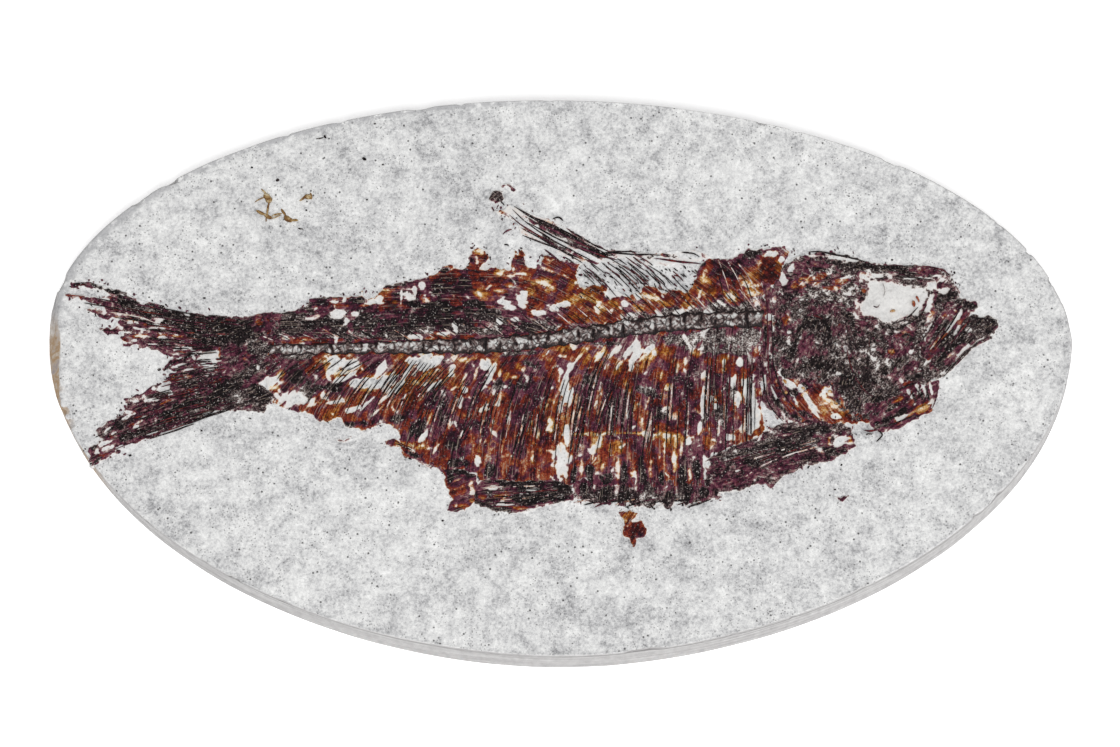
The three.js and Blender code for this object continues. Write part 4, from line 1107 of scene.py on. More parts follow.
UPPER_TIPS = [(-61.4, 11.4), (-58.6, 8.6), (-55.6, 6.4), (-49.5, 3)]
LOWER_TIPS = [(-49, 1.8), (-52, -2), (-56.5, -6.2), (-58.8, -10.6)]
tail_paths = fan([(-39.5, 7), (-41.5, 5), (-43, 3.2)], UPPER_TIPS, 90, 0.16, (DARK, BROWN, DARK), -0.35)
tail_paths += fan([(-42.8, 2.2), (-41.5, -1), (-39.5, -4)], LOWER_TIPS, 100, 0.16, (DARK, BROWN, DARK),
                  0.25)
tail_paths += [
    ([(-59.8, 11.75), (-61.8, 11.75)], .16, *BROWN), ([(-60.2, 10.3), (-62.7, 10.4)], .18, 0.5, 0.0),
    ([(-55.9, 5.8), (-58, 5.9)], .12, *DARK), ([(-46.6, 2.7), (-48.2, 2), (-50, .8)], .16, *DARK),
    ([(-57.2, 8.25), (-54.5, 7.9), (-51.6, 7.1), (-50, 6.2)], .1, -0.3, -0.4),
]
tail_rays = strands("tail_rays", tail_paths, above=0.24, seed=95)
settle(tail_rays, "dark_bone")


# ---- Fins ----
# The dorsal fin's long leading rays stand off the back; the rest of it is a thin web of rays over bare
# stone. The small anal, pelvic and pectoral fins lie folded against the belly.
def rods(lines, width, kinds):
    return [(line, width * chance.uniform(0.75, 1.25), *kinds[k % len(kinds)]) for k,
            line in enumerate(lines)]


dorsal_outline = [
    (-6.4, 22.2), (-7.2, 21.4), (-8.3, 21.4), (-8, 20.9), (-6.6, 20.6), (-5.2, 19.8), (-5, 18.3),
    (-4.2, 18.1), (-1, 16.6), (1, 15.3), (4, 14.7), (7.4, 14.5), (12, 14.2), (17.4, 14.8), (19.6, 15.4),
    (17, 16.3), (14.4, 16.2), (12, 15.7), (9, 16.2), (6, 16.2), (2, 18.5), (-1.4, 20.2), (-3.6, 21.1),
    (-5.2, 21.8),
]
dorsal_marks = {
    "gap": [
        (-3.6, 19.3, 1.6, .35, -40), (-.8, 17.9, 1.8, .3, -35), (3, 15.8, 1.8, .3, -25),
        (7.2, 15, 1.8, .4, 0), (13, 14.9, 1.6, .4, 0), (16.4, 15.6, 1.2, .4, 0), (.6, 19, 1, .2, -32),
        (10.4, 15, .8, .4, 0), (-5.6, 20.6, .6, .3, -60), (9, 15.6, .6, .2, 0), (5.6, 16.2, .8, .15, -25),
        (-2.4, 18, 1.2, .2, -40),
    ],
    "rust": [(-6, 20.9, .5, .6, 0), (-7.6, 21.1, .7, .3, 10), (13, 16, .8, .3, 0), (11.3, 14.3, .5, .4, 0)],
    "black": [
        (0.4, 18.3, 3.8, .42, -28), (-1.2, 17.5, 3, .3, -32), (4.6, 15.9, 2, .35, -22),
        (11.6, 15.2, .6, .4, 0), (14.3, 15.6, 1, .35, 0), (5.2, 15.8, 1.6, .3, -20),
    ],
    "amber": [(-5.2, 21.6, .5, .3, -40)],
}
dorsal = relief_sheet("dorsal_fin_base", dorsal_outline, lie(-30), dorsal_marks, full=-0.15, tone=0.6,
                      streaks=1.0, blotches=0.5, ragged=0.5, seed=101)
settle(dorsal, "dark_bone", "dorsal_fin")
dorsal_lines = [
    [(-6, 21.6), (-4, 19.6), (0, 17), (4.2, 14.9)], [(-3.2, 20.2), (1.5, 17.9), (6.2, 15.7)],
    [(-2.8, 20), (1.6, 17.6), (6, 15.5)], [(1, 19), (3.6, 17.4), (6.4, 16)],
    [(-4.7, 18.2), (-1, 16.8), (2.8, 15.1)], [(-1.9, 16.4), (1, 14)], [(-5.8, 22), (-3, 20.2), (1, 17.8)],
    [(-4.9, 19.2), (-1, 17), (3, 14.6)], [(-6.4, 20.9), (-4.8, 19.4), (-2, 17.8), (1.6, 15.4)],
    [(-3.9, 19.8), (0, 17.6), (4.8, 15.4)], [(4.8, 15.7), (7.4, 16.1), (9.9, 16)],
    [(12, 15.2), (15, 14.8), (18, 14.5)], [(15.5, 16), (17, 15.9), (17.8, 15.4)],
    [(-3.4, 20.6), (0.6, 18.8), (3, 17.4)], [(0.6, 17.4), (5, 15.6), (7.4, 15)],
    [(6.6, 15.9), (10, 15.7), (13, 15.6)],
]
web_lines = []
for _ in range(42):
    x = chance.uniform(-0.5, 12.6)
    turn = chance.uniform(-0.7, 0.7)
    ray = [(x, 15.4), (x + 3.4 + turn, 12.9), (x + 6.4 + turn, 9.6)]
    first = int(chance.integers(0, 12))
    web_lines.append(smooth_line(ray, 24)[first:first + int(chance.integers(5, 13))])
for _ in range(90):
    x, y, long = chance.uniform(2, 17.6), chance.triangular(9.8, 11, 15.8), chance.uniform(0.25, 0.8)
    turn = math.radians(chance.uniform(-60, -15))
    web_lines.append([(x, y), (x + long * math.cos(turn), y + long * math.sin(turn))])
dorsal_paths = rods(dorsal_lines, 0.26, (DARK, DARK, BROWN)) + rods(web_lines, 0.13, (DARK, BROWN, DARK))
dorsal_paths += rods([[(19.6 + 0.5 * k, 15.2), (20.4 + 0.8 * k, 12.4),
                       (21 + 0.9 * k, 9.4)] for k in range(6)],
                     0.14, (DARK, PALE))
dorsal_paths += rods([[(-.9, 20.3), (-.1, 20.6), (.5, 20.1)], [(-7.2, 18.3), (-6.6, 18.9), (-6, 19)],
                      [(-7.5, 22.6), (-7, 22.1)], [(-8.6, 21.9), (-8.3, 21.3)], [(-7, 17), (-6.4, 16.9)]],
                     0.2, (DARK, BROWN))
dorsal_rays = strands("dorsal_rays", dorsal_paths, above=0.2, seed=105)
settle(dorsal_rays, "dark_bone")

anal_outline = [
    (-21.8, -8.4), (-20.2, -8.1), (-18, -9), (-16, -10), (-14.4, -10.8), (-14.3, -12.3), (-16.2, -11.8),
    (-17.6, -11), (-19.3, -10.3), (-20, -9.2), (-21.6, -8.8),
]
anal_marks = {"amber": [(-19.4, -8.8, 1.2, .25, -15), (-17.4, -9.5, .8, .2, -20)],
              "gap": [(-18.7, -9.5, .6, .12, -25), (-16.4, -10.8, .6, .14, -30)]}
anal = relief_sheet("anal_fin_web", anal_outline, lie(-28), anal_marks, full=0.15, tone=0.2, streaks=0.8,
                    seed=111, lift=0.15, ragged=0.6, taper=0.35)
settle(anal, "dark_bone", "anal_fin")

pelvic_outline = [
    (-10.3, -13.2), (-6, -13.4), (0.2, -13.5), (1.9, -14.3), (2, -15.8), (0, -16.3), (-1.8, -16.7),
    (-3.9, -17.4), (-6.1, -17.7), (-7.8, -17.4), (-9.2, -16.7), (-10.4, -16.4), (-10.4, -15),
]
pelvic_marks = {
    "gap": [
        (-8.2, -14.4, .9, .3, 0), (-3, -14.6, 1, .14, 8), (-6.4, -16.6, .9, .12, 5),
        (.4, -15.4, .7, .14, 12),
    ],
    "amber": [(-7.2, -15.3, 1, .35, 0), (-9.4, -15.6, .5, .3, 0), (-4.8, -16.9, .8, .2, 0)],
    "rust": [(-8, -16, 1.4, .5, 5), (-5.6, -14.6, 1, .4, 0)],
    "black": [
        (-2, -15.6, 2.2, .8, 8), (-5.2, -13.7, 3, .25, 0), (.6, -14.6, 1, .4, 0), (-4.6, -15.8, 1.4, .4, 5),
    ],
}
pelvic = relief_sheet("pelvic_fin_web", pelvic_outline, lie(8, 1.5), pelvic_marks, full=0.75, tone=0.95,
                      streaks=0.6, seed=121, lift=0.3)
settle(pelvic, "dark_bone", "pelvic_fin")

pectoral_outline = [
    (18.6, -11), (19.5, -10.2), (22, -9.2), (25, -8), (26.4, -6.9), (28, -6.2), (30.6, -5.9), (32, -5.7),
    (34.5, -6), (36, -6.2), (36.9, -6.9), (37.4, -8), (37.6, -9.1), (36, -10.1), (34.1, -10.9), (32, -11.4),
    (30, -12), (28, -13.1), (26.9, -14.3), (26.2, -13.7), (25, -13.9), (22.6, -14.8), (20, -15),
    (18.4, -14.2),
]
pectoral_marks = {
    "honey": [(34.2, -8.4, .25, .6, 0), (36.8, -8.2, .22, .5, 0)],
    "gap": [(35.4, -8.3, 1, .75, 0), (18.9, -11.4, .5, .3, 0), (22.6, -12.2, .4, .15, 20)],
    "cream": [(33, -9.5, .9, .3, -35), (25.6, -7.3, .7, .3, 20), (28.6, -7.6, .8, .14, 10)],
    "rust": [(34, -7.7, .35, .9, 0), (30, -10.4, .9, .4, 10), (22, -13.6, 1, .4, 10)],
    "maroon": [(27.5, -11.3, 1, .8, 0), (24, -11.4, 1.4, .6, 10), (20.6, -12.4, 1, .7, 0)],
    "black": [
        (24, -9.6, 2.2, .25, 15), (28.6, -9.2, 2.2, .8, 10), (32, -7, 1.8, .5, 0),
        (34.4, -9.8, 1.6, .4, -20),
    ],
    "ash": [(31, -8.6, 1.6, .8, 10), (26.4, -9, 1.2, .6, 0)],
}
pectoral = relief_sheet("pectoral_plate", pectoral_outline, lie(14, 2), pectoral_marks, full=0.55,
                        tone=0.85,
                        patchy=0.35, speck=0.5, seed=131, lift=0.35, streaks=0.4)
settle(pectoral, "dark_bone", "pectoral_fin")
folded = [[(19.5 + 0.5 * k, -11 - 0.35 * k), (26, -9.4 - 0.25 * k), (33, -7.6 - 0.2 * k)] for k in range(9)]
folded += [[(-20.6, -8.4 - 0.3 * k), (-18.4, -9.3 - 0.3 * k)] for k in range(2)]
folded += [[(2 + 1.3 * k, -16.3 - 0.3 * (k % 3)), (5 + 1.3 * k, -15.7 - 0.2 * (k % 2))] for k in range(12)]
folded += [[(-9.8, -14.4 - 0.4 * k), (-4, -14.2 - 0.42 * k), (1.6, -14.1 - 0.2 * k)] for k in range(7)]
folded_rays = strands("folded_fin_rays", rods(folded, 0.17, (DARK, BROWN, DARK, PALE)), above=0.22,
                      seed=135)
settle(folded_rays, "dark_bone")


# ---- Belly keel and vent scales ----
# A row of small keeled scutes stiffens the belly's edge, like the teeth of a comb. Behind it a flap of
# large purple scales hangs loose.
keel_outline = [
    (1.8, -13.4), (3, -12.8), (4.4, -13.5), (6, -12.9), (7.6, -13.6), (9, -12.8), (10.6, -13.5),
    (12, -12.9), (13.6, -13.6), (15, -12.8), (16.6, -13.5), (18.6, -13.2), (20.6, -14.9), (20, -15.8),
    (18, -16.1), (16.2, -16.6), (15, -16.3), (13.9, -16.9), (12.6, -16.5), (11.4, -16.8), (9.8, -16.9),
    (8.8, -16.4), (7.4, -16.5), (6, -16.2), (4.6, -16.5), (2, -16),
]
keel_marks = {
    "black": [
        (3.2, -15, .4, 1, 0), (6.2, -15.2, .6, .9, 0), (8.8, -15.4, .4, .8, 10), (11.4, -15.2, .7, 1, 0),
        (13.8, -15.6, .5, .7, -10), (16.2, -15, .5, 1, 0), (18.4, -15, .6, .6, 0),
    ],
    "cream": [
        (4.6, -14.2, .2, .7, 0), (7.4, -14.4, .3, .8, 0), (9.9, -14.1, .2, .9, 0),
        (12.6, -14.5, .16, .5, 0), (14.9, -14.2, .24, .8, 0), (17.2, -14, .2, .6, 0),
    ],
    "maroon": [
        (4, -13.7, .6, .6, 0), (8.2, -13.9, .5, .7, 0), (10.8, -13.6, .5, .5, 0), (15.6, -13.8, .6, .6, 0),
    ],
    "ash": [(4.2 + 3.8 * k, -15.6, .8, .4, 0) for k in range(4)],
}
keel = relief_sheet("keel_scutes", keel_outline, lie(84, 1.6), keel_marks, full=0.5, tone=0.85, lift=0.3,
                    streaks=0.5, ragged=0.55, seed=141)
settle(keel, "dark_bone", "belly_keel")

vent_outline = [
    (-14.6, -12), (-12.4, -11.9), (-10.3, -12.5), (-10, -14), (-10.3, -16.3), (-11.7, -17.3),
    (-13.9, -17.2), (-13.4, -15.8), (-14.2, -14),
]
vent_marks = {
    "black": [(-12, -12.4, 1.6, .35, -10), (-13.6, -13, .4, .6, 0)],
    "cream": [(-10.8, -14.6, .3, .8, 10), (-12.6, -13.4, .6, .14, 20)],
    "amber": [(-12.2, -16.7, 1, .3, 0), (-10.9, -16, .4, .4, 0)],
    "rust": [(-13, -15, .6, .8, 0)],
}
vent = relief_sheet("vent_skin", vent_outline, lie(20), vent_marks, full=0.65, tone=0.5, blotches=0.25,
                    seed=151)
settle(vent, "scale_film", "vent_scales")


# ---- Head ----
# The skull roof, gill cover, cheek and jaws are plates of thin crushed bone, black to brown and full of
# fine cracks, that overlap like tiles round the eye socket, which is open down to the stone.
socket_outline = [
    (38, 13), (40, 12.6), (42, 12.1), (44, 11.6), (46.4, 11.4), (46.6, 10.7), (46.2, 9.5), (45.4, 7.9),
    (43.2, 7.5), (42, 6.8), (40.9, 6.8), (40.4, 7.5), (38.4, 7.8), (38, 9.2), (39.1, 10.4), (39.1, 11.8),
]
skull_outline = [
    (27.2, 11.4), (28, 13.6), (29.2, 14.9), (30.1, 15.4), (31.3, 15.5), (32.9, 16), (35, 15.9),
    (36.9, 15.5), (38.7, 14.9), (40.4, 14.5), (42, 14.4), (44.1, 14.2), (46.2, 14.3), (47.6, 14),
    (48.7, 13.7), (49.6, 13.1), (50, 11.9), (50.8, 10.9), (50.6, 9.9), (49.8, 9.1), (48.5, 8.3),
    (46.8, 6.6), (46, 4.9), (42, 4.2), (39.4, 4.7), (36.4, 5.4), (35.6, 8), (34.2, 8.9), (31, 9),
    (27.8, 8.4),
]
skull_marks = {
    "gap": [
        (35.9, 15.15, 1.8, .2, -8), (45.4, 12.6, 1.9, .14, 0), (48.5, 12.3, .55, .4, 0),
        (48.8, 11.1, .6, .35, 20), (47.2, 11.6, .5, .5, 0), (40.4, 5.2, .8, .22, -20),
        (46.9, 9.4, .3, 1.2, -15), (40.6, 12.9, .9, .25, 0), (36.4, 12.75, 1.1, .12, 12),
        (28.4, 12.4, .4, .8, 20), (29.4, 13.9, .3, .5, -30), (47.8, 12.9, .7, .12, 0),
    ],
    "cream": [
        (38.6, 13.2, .6, .3, 0), (37.6, 11.4, .3, .4, 0), (37.7, 9.4, .25, .5, 0), (43.9, 6.9, .7, .12, 30),
        (32.2, 15.5, .8, .12, 0), (46.9, 7.4, .3, .8, -25), (38.6, 8.6, .3, .3, 0),
    ],
    "amber": [
        (32.6, 12.6, 2.2, .6, 12), (35.6, 12.2, 1.3, .5, 0), (30.4, 11.8, 1, .5, 20),
        (34.4, 11.3, 1.2, .3, 0),
    ],
    "rust": [
        (30.6, 13.9, 1.4, .8, 0), (46.2, 13.4, 2.2, .4, -5), (32.9, 14.1, 1.4, .5, 0),
        (47.4, 8.6, .4, 1.2, -25), (31.2, 10.6, 1, .4, 0), (43.6, 5.4, 1.2, .4, 10),
    ],
    "maroon": [
        (41, 6.1, 1.6, .4, -8), (47.7, 13.1, .9, .5, 0), (45.6, 6.6, 1, .4, 30), (29.4, 10.6, 1, .7, 0),
    ],
    "black": [
        (36.6, 14.3, 2.2, .4, -6), (41.4, 13.9, 2.4, .25, -3), (49.2, 13.3, .6, .4, 0),
        (39.2, 7.3, 1, .18, 5), (44.2, 6.9, 2, .35, 32), (32.5, 8.8, 1.8, .5, -15), (49.4, 10.4, .9, .7, 0),
        (33.5, 13.6, 1.6, .2, -10), (48, 9.6, .3, 1, -20), (36.8, 7.4, .6, .9, 0),
    ],
    "ash": [(30.7, 12, .8, .3, 0), (33, 10.4, 2.5, .7, 0), (36.7, 10.6, .8, 1.4, 0),
            (40, 13.6, 1.6, .25, 0)],
}
skull = relief_sheet("skull_roof", skull_outline, lie(-8, 4), skull_marks, full=0.42, tone=0.9, speck=0.5,
                     patchy=0.3, lift=0.35, streaks=0.3, blotches=0.3, seed=201, hole=socket_outline,
                     step=0.12)
settle(skull, "dark_bone", "skull")

gill_outline = [
    (27.5, 9.3), (31, 10), (34.8, 9.6), (36.6, 8.4), (37.8, 5.4), (37.6, 2.6), (38.6, -1), (38.6, -4.6),
    (36.4, -5.2), (35.4, -4), (34.4, -1.5), (32, -1), (30.2, -.6), (28.2, -.2), (27.3, 2), (27, 5),
]
gill_marks = {
    "gap": [(36.3, 3.6, .22, .4, 0), (35.4, .3, .3, .22, 0), (29.2, 5.6, .3, .2, 0)],
    "rust": [(31.5, 3.5, 1.2, 1.4, 0), (29, 1.4, .7, .4, 0), (28.8, 6.6, .5, 1, 0), (30.6, 5.6, .8, .5, 0)],
    "amber": [(28.9, 7.6, .5, .8, 0)],
    "black": [
        (32.6, 6.9, 1.6, .9, 0), (33.9, 5.2, .5, 1.3, 0), (31, 6.4, .5, 1.6, -35),
        (36.8, -.6, .9, 2.6, -10), (34, 1.2, 1.8, .8, -10), (29.6, 3.2, .4, 1.6, -15),
        (31.6, 1.1, 1.6, .7, 0), (37.3, -3.4, .7, .8, 0),
    ],
    "ash": [(34.9, 3.4, .7, 1.4, 0), (30, 8, 1.4, .6, 0)],
}
gill = relief_sheet("gill_plate", gill_outline, lie(75, 4), gill_marks, full=0.48, tone=1.0, speck=0.5,
                    patchy=0.25, lift=0.42, streaks=0.3, blotches=0.25, seed=211, step=0.12)
settle(gill, "dark_bone", "gill_cover")

cheek_outline = [
    (36.6, 6.4), (39.6, 5.6), (42.2, 5.1), (45.8, 5.8), (46.8, 3.9), (47.6, 2), (48.2, .5), (46.2, -1),
    (44.2, -1.3), (43.1, -2.2), (41.8, -3.8), (39.6, -5.7), (37, -5.8), (36.8, -3.6), (37.2, -.8),
    (36.6, 2.6),
]
cheek_marks = {
    "gap": [(44.6, 3.1, .35, .2, 40), (39.8, 3.4, .25, .15, 0), (46.6, 3.9, .3, .12, 50)],
    "rust": [(43, 3.4, 1.6, .8, 0), (44.9, 1.4, 1, .6, 40), (40, -3.9, 1.2, .5, 0), (41, 2, .8, .6, 0)],
    "amber": [(42, 3.1, .5, .3, 0)],
    "maroon": [(39.8, -4.6, 1.4, .5, 0), (43.6, .4, 1.2, .5, 20), (42.2, -1, .8, .6, 0)],
    "black": [
        (38.8, 0, .8, 2.2, -10), (40.6, -2.6, 1.2, .6, 30), (45.2, -.1, 1.6, .35, 10),
        (41.2, .6, 1, .4, 20), (43.4, 1.8, 1, .3, 40), (38.4, 3.8, .7, .8, 0),
    ],
    "ash": [(40.6, 1.6, 1.6, .8, 0), (45.6, 2.6, .8, .5, 45)],
}
cheek = relief_sheet("cheek_plate", cheek_outline, lie(50, 4), cheek_marks, full=0.43, tone=0.98, speck=0.5,
                     patchy=0.25, lift=0.36, streaks=0.3, blotches=0.25, seed=221, step=0.12)
settle(cheek, "dark_bone", "cheek_bone")

throat_skin_outline = [
    (27.8, 0), (30, -.4), (32.6, -.4), (34.8, -.6), (36, -3.2), (37, -4.6), (39.6, -5.1), (39.2, -6.1),
    (36, -6.1), (34, -6.2), (31, -6.1), (29.2, -4.9), (27.8, -3), (27.2, -1.4),
]
throat_skin_marks = {
    "gap": [
        (29.3, -1.1, 1, .45, -30), (31.9, -3.6, 1.3, .42, -55), (34.1, -1.8, .7, .35, 20),
        (35, -5.2, .5, .3, 0), (29.6, -2.9, .7, .2, -50), (30.6, -1.6, .5, .4, 0),
    ],
    "honey": [(34.2, -3.1, .6, .3, 0)],
    "cream": [(34.4, -2.3, .9, .4, 10), (28.8, -2.4, .4, .7, 20)],
    "amber": [
        (28.7, -.7, .35, .4, 0), (34.9, -3.6, .6, .3, 0), (33.7, -1.5, .3, .25, 0), (31, -2.4, .3, .6, -50),
    ],
    "rust": [(33.4, -4.2, .6, .8, 0), (36.2, -4.9, .9, .3, 0), (32.4, -5.2, .8, .25, 0)],
    "maroon": [
        (32.3, -1.9, .8, .5, 0), (33.6, -3.2, .6, .6, 0), (36.2, -5.4, 1.3, .35, 0), (37.8, -5.6, 1, .3, 0),
    ],
    "black": [
        (29.6, -2.1, .5, .8, 20), (30.8, -1.6, .4, .5, 0), (34.6, -2.9, .6, .2, -20),
        (31.1, -4.9, .7, .3, -30),
    ],
}
throat_skin = relief_sheet("throat_skin", throat_skin_outline, lie(-50), throat_skin_marks, full=0.3,
                           tone=0.1,
                           blotches=0.5, seed=231, step=0.12)
settle(throat_skin, "amber_film", "throat_scales")

throat_outline = [
    (39, -5.4), (39.8, -4.5), (41.8, -2.8), (42.8, -1.4), (44.3, -.5), (46, -.3), (47.9, -.6), (48, -1.6),
    (47.7, -2.9), (47.1, -4.4), (45.2, -5.6), (44.1, -6.2), (42.2, -7), (40.8, -7.2), (39.4, -6.6),
]
throat_marks = {
    "gap": [
        (45.3, -1.4, .2, 1.1, 20), (46.2, -1.8, .16, 1, 18), (47, -1.6, .14, .7, 12),
        (44.3, -2.2, .18, .8, 25), (43.4, -5.3, .6, .14, 30),
    ],
    "honey": [(45.9, -4.2, .9, .5, 30)],
    "amber": [(43, -3.1, .8, .25, 30), (44.6, -4.9, .5, .15, 35)],
    "plum": [(42, -5.4, 1.6, .5, 30), (41, -6.3, 1, .35, 20), (43.6, -4.4, .8, .4, 35)],
    "rust": [(44.6, -3.4, 1, .5, 35), (46.8, -3.4, .5, .5, 0)],
    "black": [
        (45.7, -2.2, .14, 1.2, 20), (46.6, -2.4, .14, 1, 16), (44.8, -2.6, .14, 1, 24),
        (42.2, -4, 1, .3, 40),
    ],
}
throat = relief_sheet("throat_web", throat_outline, lie(30, 1.6), throat_marks, full=0.5, tone=0.45,
                      streaks=0.4,
                      seed=241, step=0.12)
settle(throat, "scale_film", "throat_rays")

upper_jaw_outline = [
    (45.5, 3.9), (46.4, 6), (47.9, 7.9), (49.8, 9.4), (50.4, 10), (51.5, 9.9), (52.7, 9.5), (53.2, 8.9),
    (52.6, 8.3), (51.9, 8), (50.8, 6.6), (50, 5.4), (48.2, 3), (46.7, 2), (45.9, 2.4),
]
upper_jaw_marks = {
    "gap": [(46.9, 6.4, .14, 1.5, -35), (49.6, 6.5, .2, 2.2, -38), (50.7, 7.9, .22, .7, -20)],
    "cream": [(47.6, 4.2, .2, 1.2, -42), (50.1, 8.4, .3, .3, 0)],
    "amber": [(49, 5.4, .14, 1, -40)],
    "rust": [(48.4, 7.4, .3, 1, -38), (50, 6.8, .2, .9, -38)],
    "plum": [(51.1, 8.5, .7, .45, 20)],
    "black": [
        (48.4, 6.1, .3, 2, -38), (49.2, 4.6, .4, 1.8, -40), (52, 9, .9, .35, -25), (50.6, 9.5, .6, .3, 0),
    ],
    "ash": [(47.5, 5, .3, 1.4, -38)],
}
upper_jaw = relief_sheet("upper_jaw_bone", upper_jaw_outline, lie(51, 1.6), upper_jaw_marks, full=0.55,
                         tone=0.75,
                         speck=0.45, lift=0.45, streaks=0.5, blotches=0.25, seed=251, step=0.12)
settle(upper_jaw, "dark_bone", "upper_jaw")

lower_jaw_outline = [
    (46.6, 1.5), (48, 3.1), (49.8, 5.3), (51.5, 7.4), (52.4, 7.9), (53.4, 7.6), (54.4, 7.8), (55.6, 7.3),
    (55.7, 6.6), (55, 5.3), (54, 4.9), (53, 4.6), (51.4, 3.4), (50, 1.8), (48.9, .7), (47.8, .2), (47, .7),
]
lower_jaw_marks = {
    "gap": [(51.2, 3.3, .2, 2.2, -42), (51.8, 6, .3, .3, 0)],
    "cream": [(49.4, 2.6, .14, 1, -42)],
    "plum": [(51.4, 5.8, .5, .9, -40), (52.6, 7.3, .6, .3, 0)],
    "black": [
        (50.2, 4.4, .5, 2.2, -42), (53.6, 6.8, 1.6, .6, 10), (54.3, 5.5, .7, .3, 30), (48.4, 2, .4, 1, -42),
    ],
    "ash": [(53, 6.2, .9, .5, 20), (49.6, 3.9, .2, 1, -42)],
}
lower_jaw = relief_sheet("lower_jaw_bone", lower_jaw_outline, lie(48, 2), lower_jaw_marks, full=0.6,
                         tone=0.9,
                         speck=0.5, lift=0.42, streaks=0.4, blotches=0.25, seed=261, step=0.12)
settle(lower_jaw, "dark_bone", "lower_jaw")

gular_outline = [
    (47.6, -.6), (48.6, -.1), (49.9, .9), (51.1, 2.3), (52.4, 3.7), (53.9, 4.4), (54.9, 5), (54.4, 5.2),
    (53, 4.5), (51.2, 3.1), (49.6, 1.5), (48.4, .4), (47.5, .1),
]
gular = relief_sheet("throat_edge_bone", gular_outline, lie(45), {}, full=0.5, tone=1.1, streaks=0.6,
                     ragged=0.15,
                     seed=271, step=0.12)
settle(gular, "dark_bone", "throat_plate")

shoulder_outline = [
    (25.6, 12.2), (27.6, 12.6), (28.4, 10), (28.2, 7.8), (27.9, 3), (28.2, .7), (28.9, -1.8), (30.2, -4.1),
    (32.2, -5.4), (31, -6.2), (28.4, -6.1), (26.1, -3.6), (25.2, 0), (25.3, 3), (25.4, 7.6),
]
shoulder_marks = {
    "gap": [
        (26.1, -.8, .16, 1.3, 0), (27.3, -2, .2, 1, 15), (26.5, 3.4, .16, .8, 0), (26.6, 7.6, .4, .3, 0),
        (27.2, 11.6, .4, .2, 0),
    ],
    "cream": [
        (28.9, -4.1, .8, .12, -50), (27.2, 6.8, .2, .8, 0), (27.3, 10, .3, .4, 0), (27.6, 2.2, .12, .8, 0),
    ],
    "rust": [(26.8, 11.2, .4, .8, 0), (27.6, -1.4, .3, .8, 15)],
    "black": [
        (26.7, 1.6, .18, 3, -3), (26.2, 5.6, .16, 2, 0), (28, -3.9, 1.4, .2, -52), (30.2, -5.4, 1, .2, -20),
    ],
}
shoulder = relief_sheet("shoulder_blade", shoulder_outline, lie(93, 1.6), shoulder_marks, full=0.4,
                        tone=0.7,
                        streaks=0.5, speck=0.5, lift=0.4, seed=281, step=0.12, ragged=0.5)
settle(shoulder, "dark_bone", "shoulder_bone")

head_lines = [
    [(31.6, 16), (33, 16.05), (35, 15.6), (38.7, 14.8)],
    [(34, 14.5), (38, 14.25), (42, 14.15), (46, 14.15)], [(46, 14.2), (48.6, 13.7), (49.6, 12.9)],
    [(38, 14.1), (42, 13.7), (46, 13)], [(42.4, 12.9), (47.4, 12.3)], [(38, 7.35), (39, 7.3), (40.2, 7.5)],
    [(42, 6.5), (44.3, 7.5), (45.5, 8.9)], [(43, 6.1), (45.6, 7.4), (46.6, 9.2)],
    [(30.8, 5), (31.4, 8), (33.8, 7.3), (34.4, 4.6)], [(31, 6.4), (29.6, 3), (28.4, 1.4)],
    [(36.1, 8), (37.1, 3), (38.2, -1)], [(36.2, 4.4), (37, .6), (38.5, -2), (40.8, -3.3)],
    [(40.8, -3.3), (43, -1.7), (45.4, -.8)], [(47.2, 3.4), (49.2, 6), (50.8, 8.6)],
    [(48.6, 3), (50.6, 5.4), (52.2, 7.6)], [(48, 1.6), (50.4, 4.2), (52.4, 6.6)],
    [(48.6, -.2), (50.6, 2.2), (53.4, 4.6)], [(46.6, 3), (48, 5.2), (50, 7.6)],
    [(50.3, 9.5), (51.6, 9.5), (53, 8.9)], [(51.8, 7.6), (53.6, 7.3), (55.4, 7.2)],
    [(26.2, 11.6), (26.5, 5), (26.4, 1), (27.2, -2), (29.4, -5)],
    [(26.9, 9), (27, 4), (27.2, 1), (28.4, -2.6), (31, -5.4)],
    [(25.8, 3), (25.8, -1), (26.6, -4), (28.4, -5.9)], [(47.8, -.8), (47.9, -2.4), (47.2, -4.2)],
    [(46.5, -.9), (46.6, -2.6), (45.8, -4.2)], [(45.6, -.9), (45.6, -2.4), (44.6, -4)],
    [(44.8, -1), (44.6, -2.4), (43.4, -4)], [(44.4, -4.6), (42.4, -5.2), (40.2, -6.2)],
    [(45.2, -5), (43.4, -5.8), (41.4, -6.6)], [(38.6, -7), (39.4, -7.2), (40.2, -7)],
    [(38.8, -7.6), (39.6, -7.5)], [(40.3, -7), (41, -7.6), (40.6, -8.1), (40.1, -8.5)],
    [(31.6, 12.1), (34, 12.3), (36.4, 12.9)], [(44.4, 3.6), (46, 4.6), (47.6, 6.8)],
]
HONEY = (0.08, -1.5)
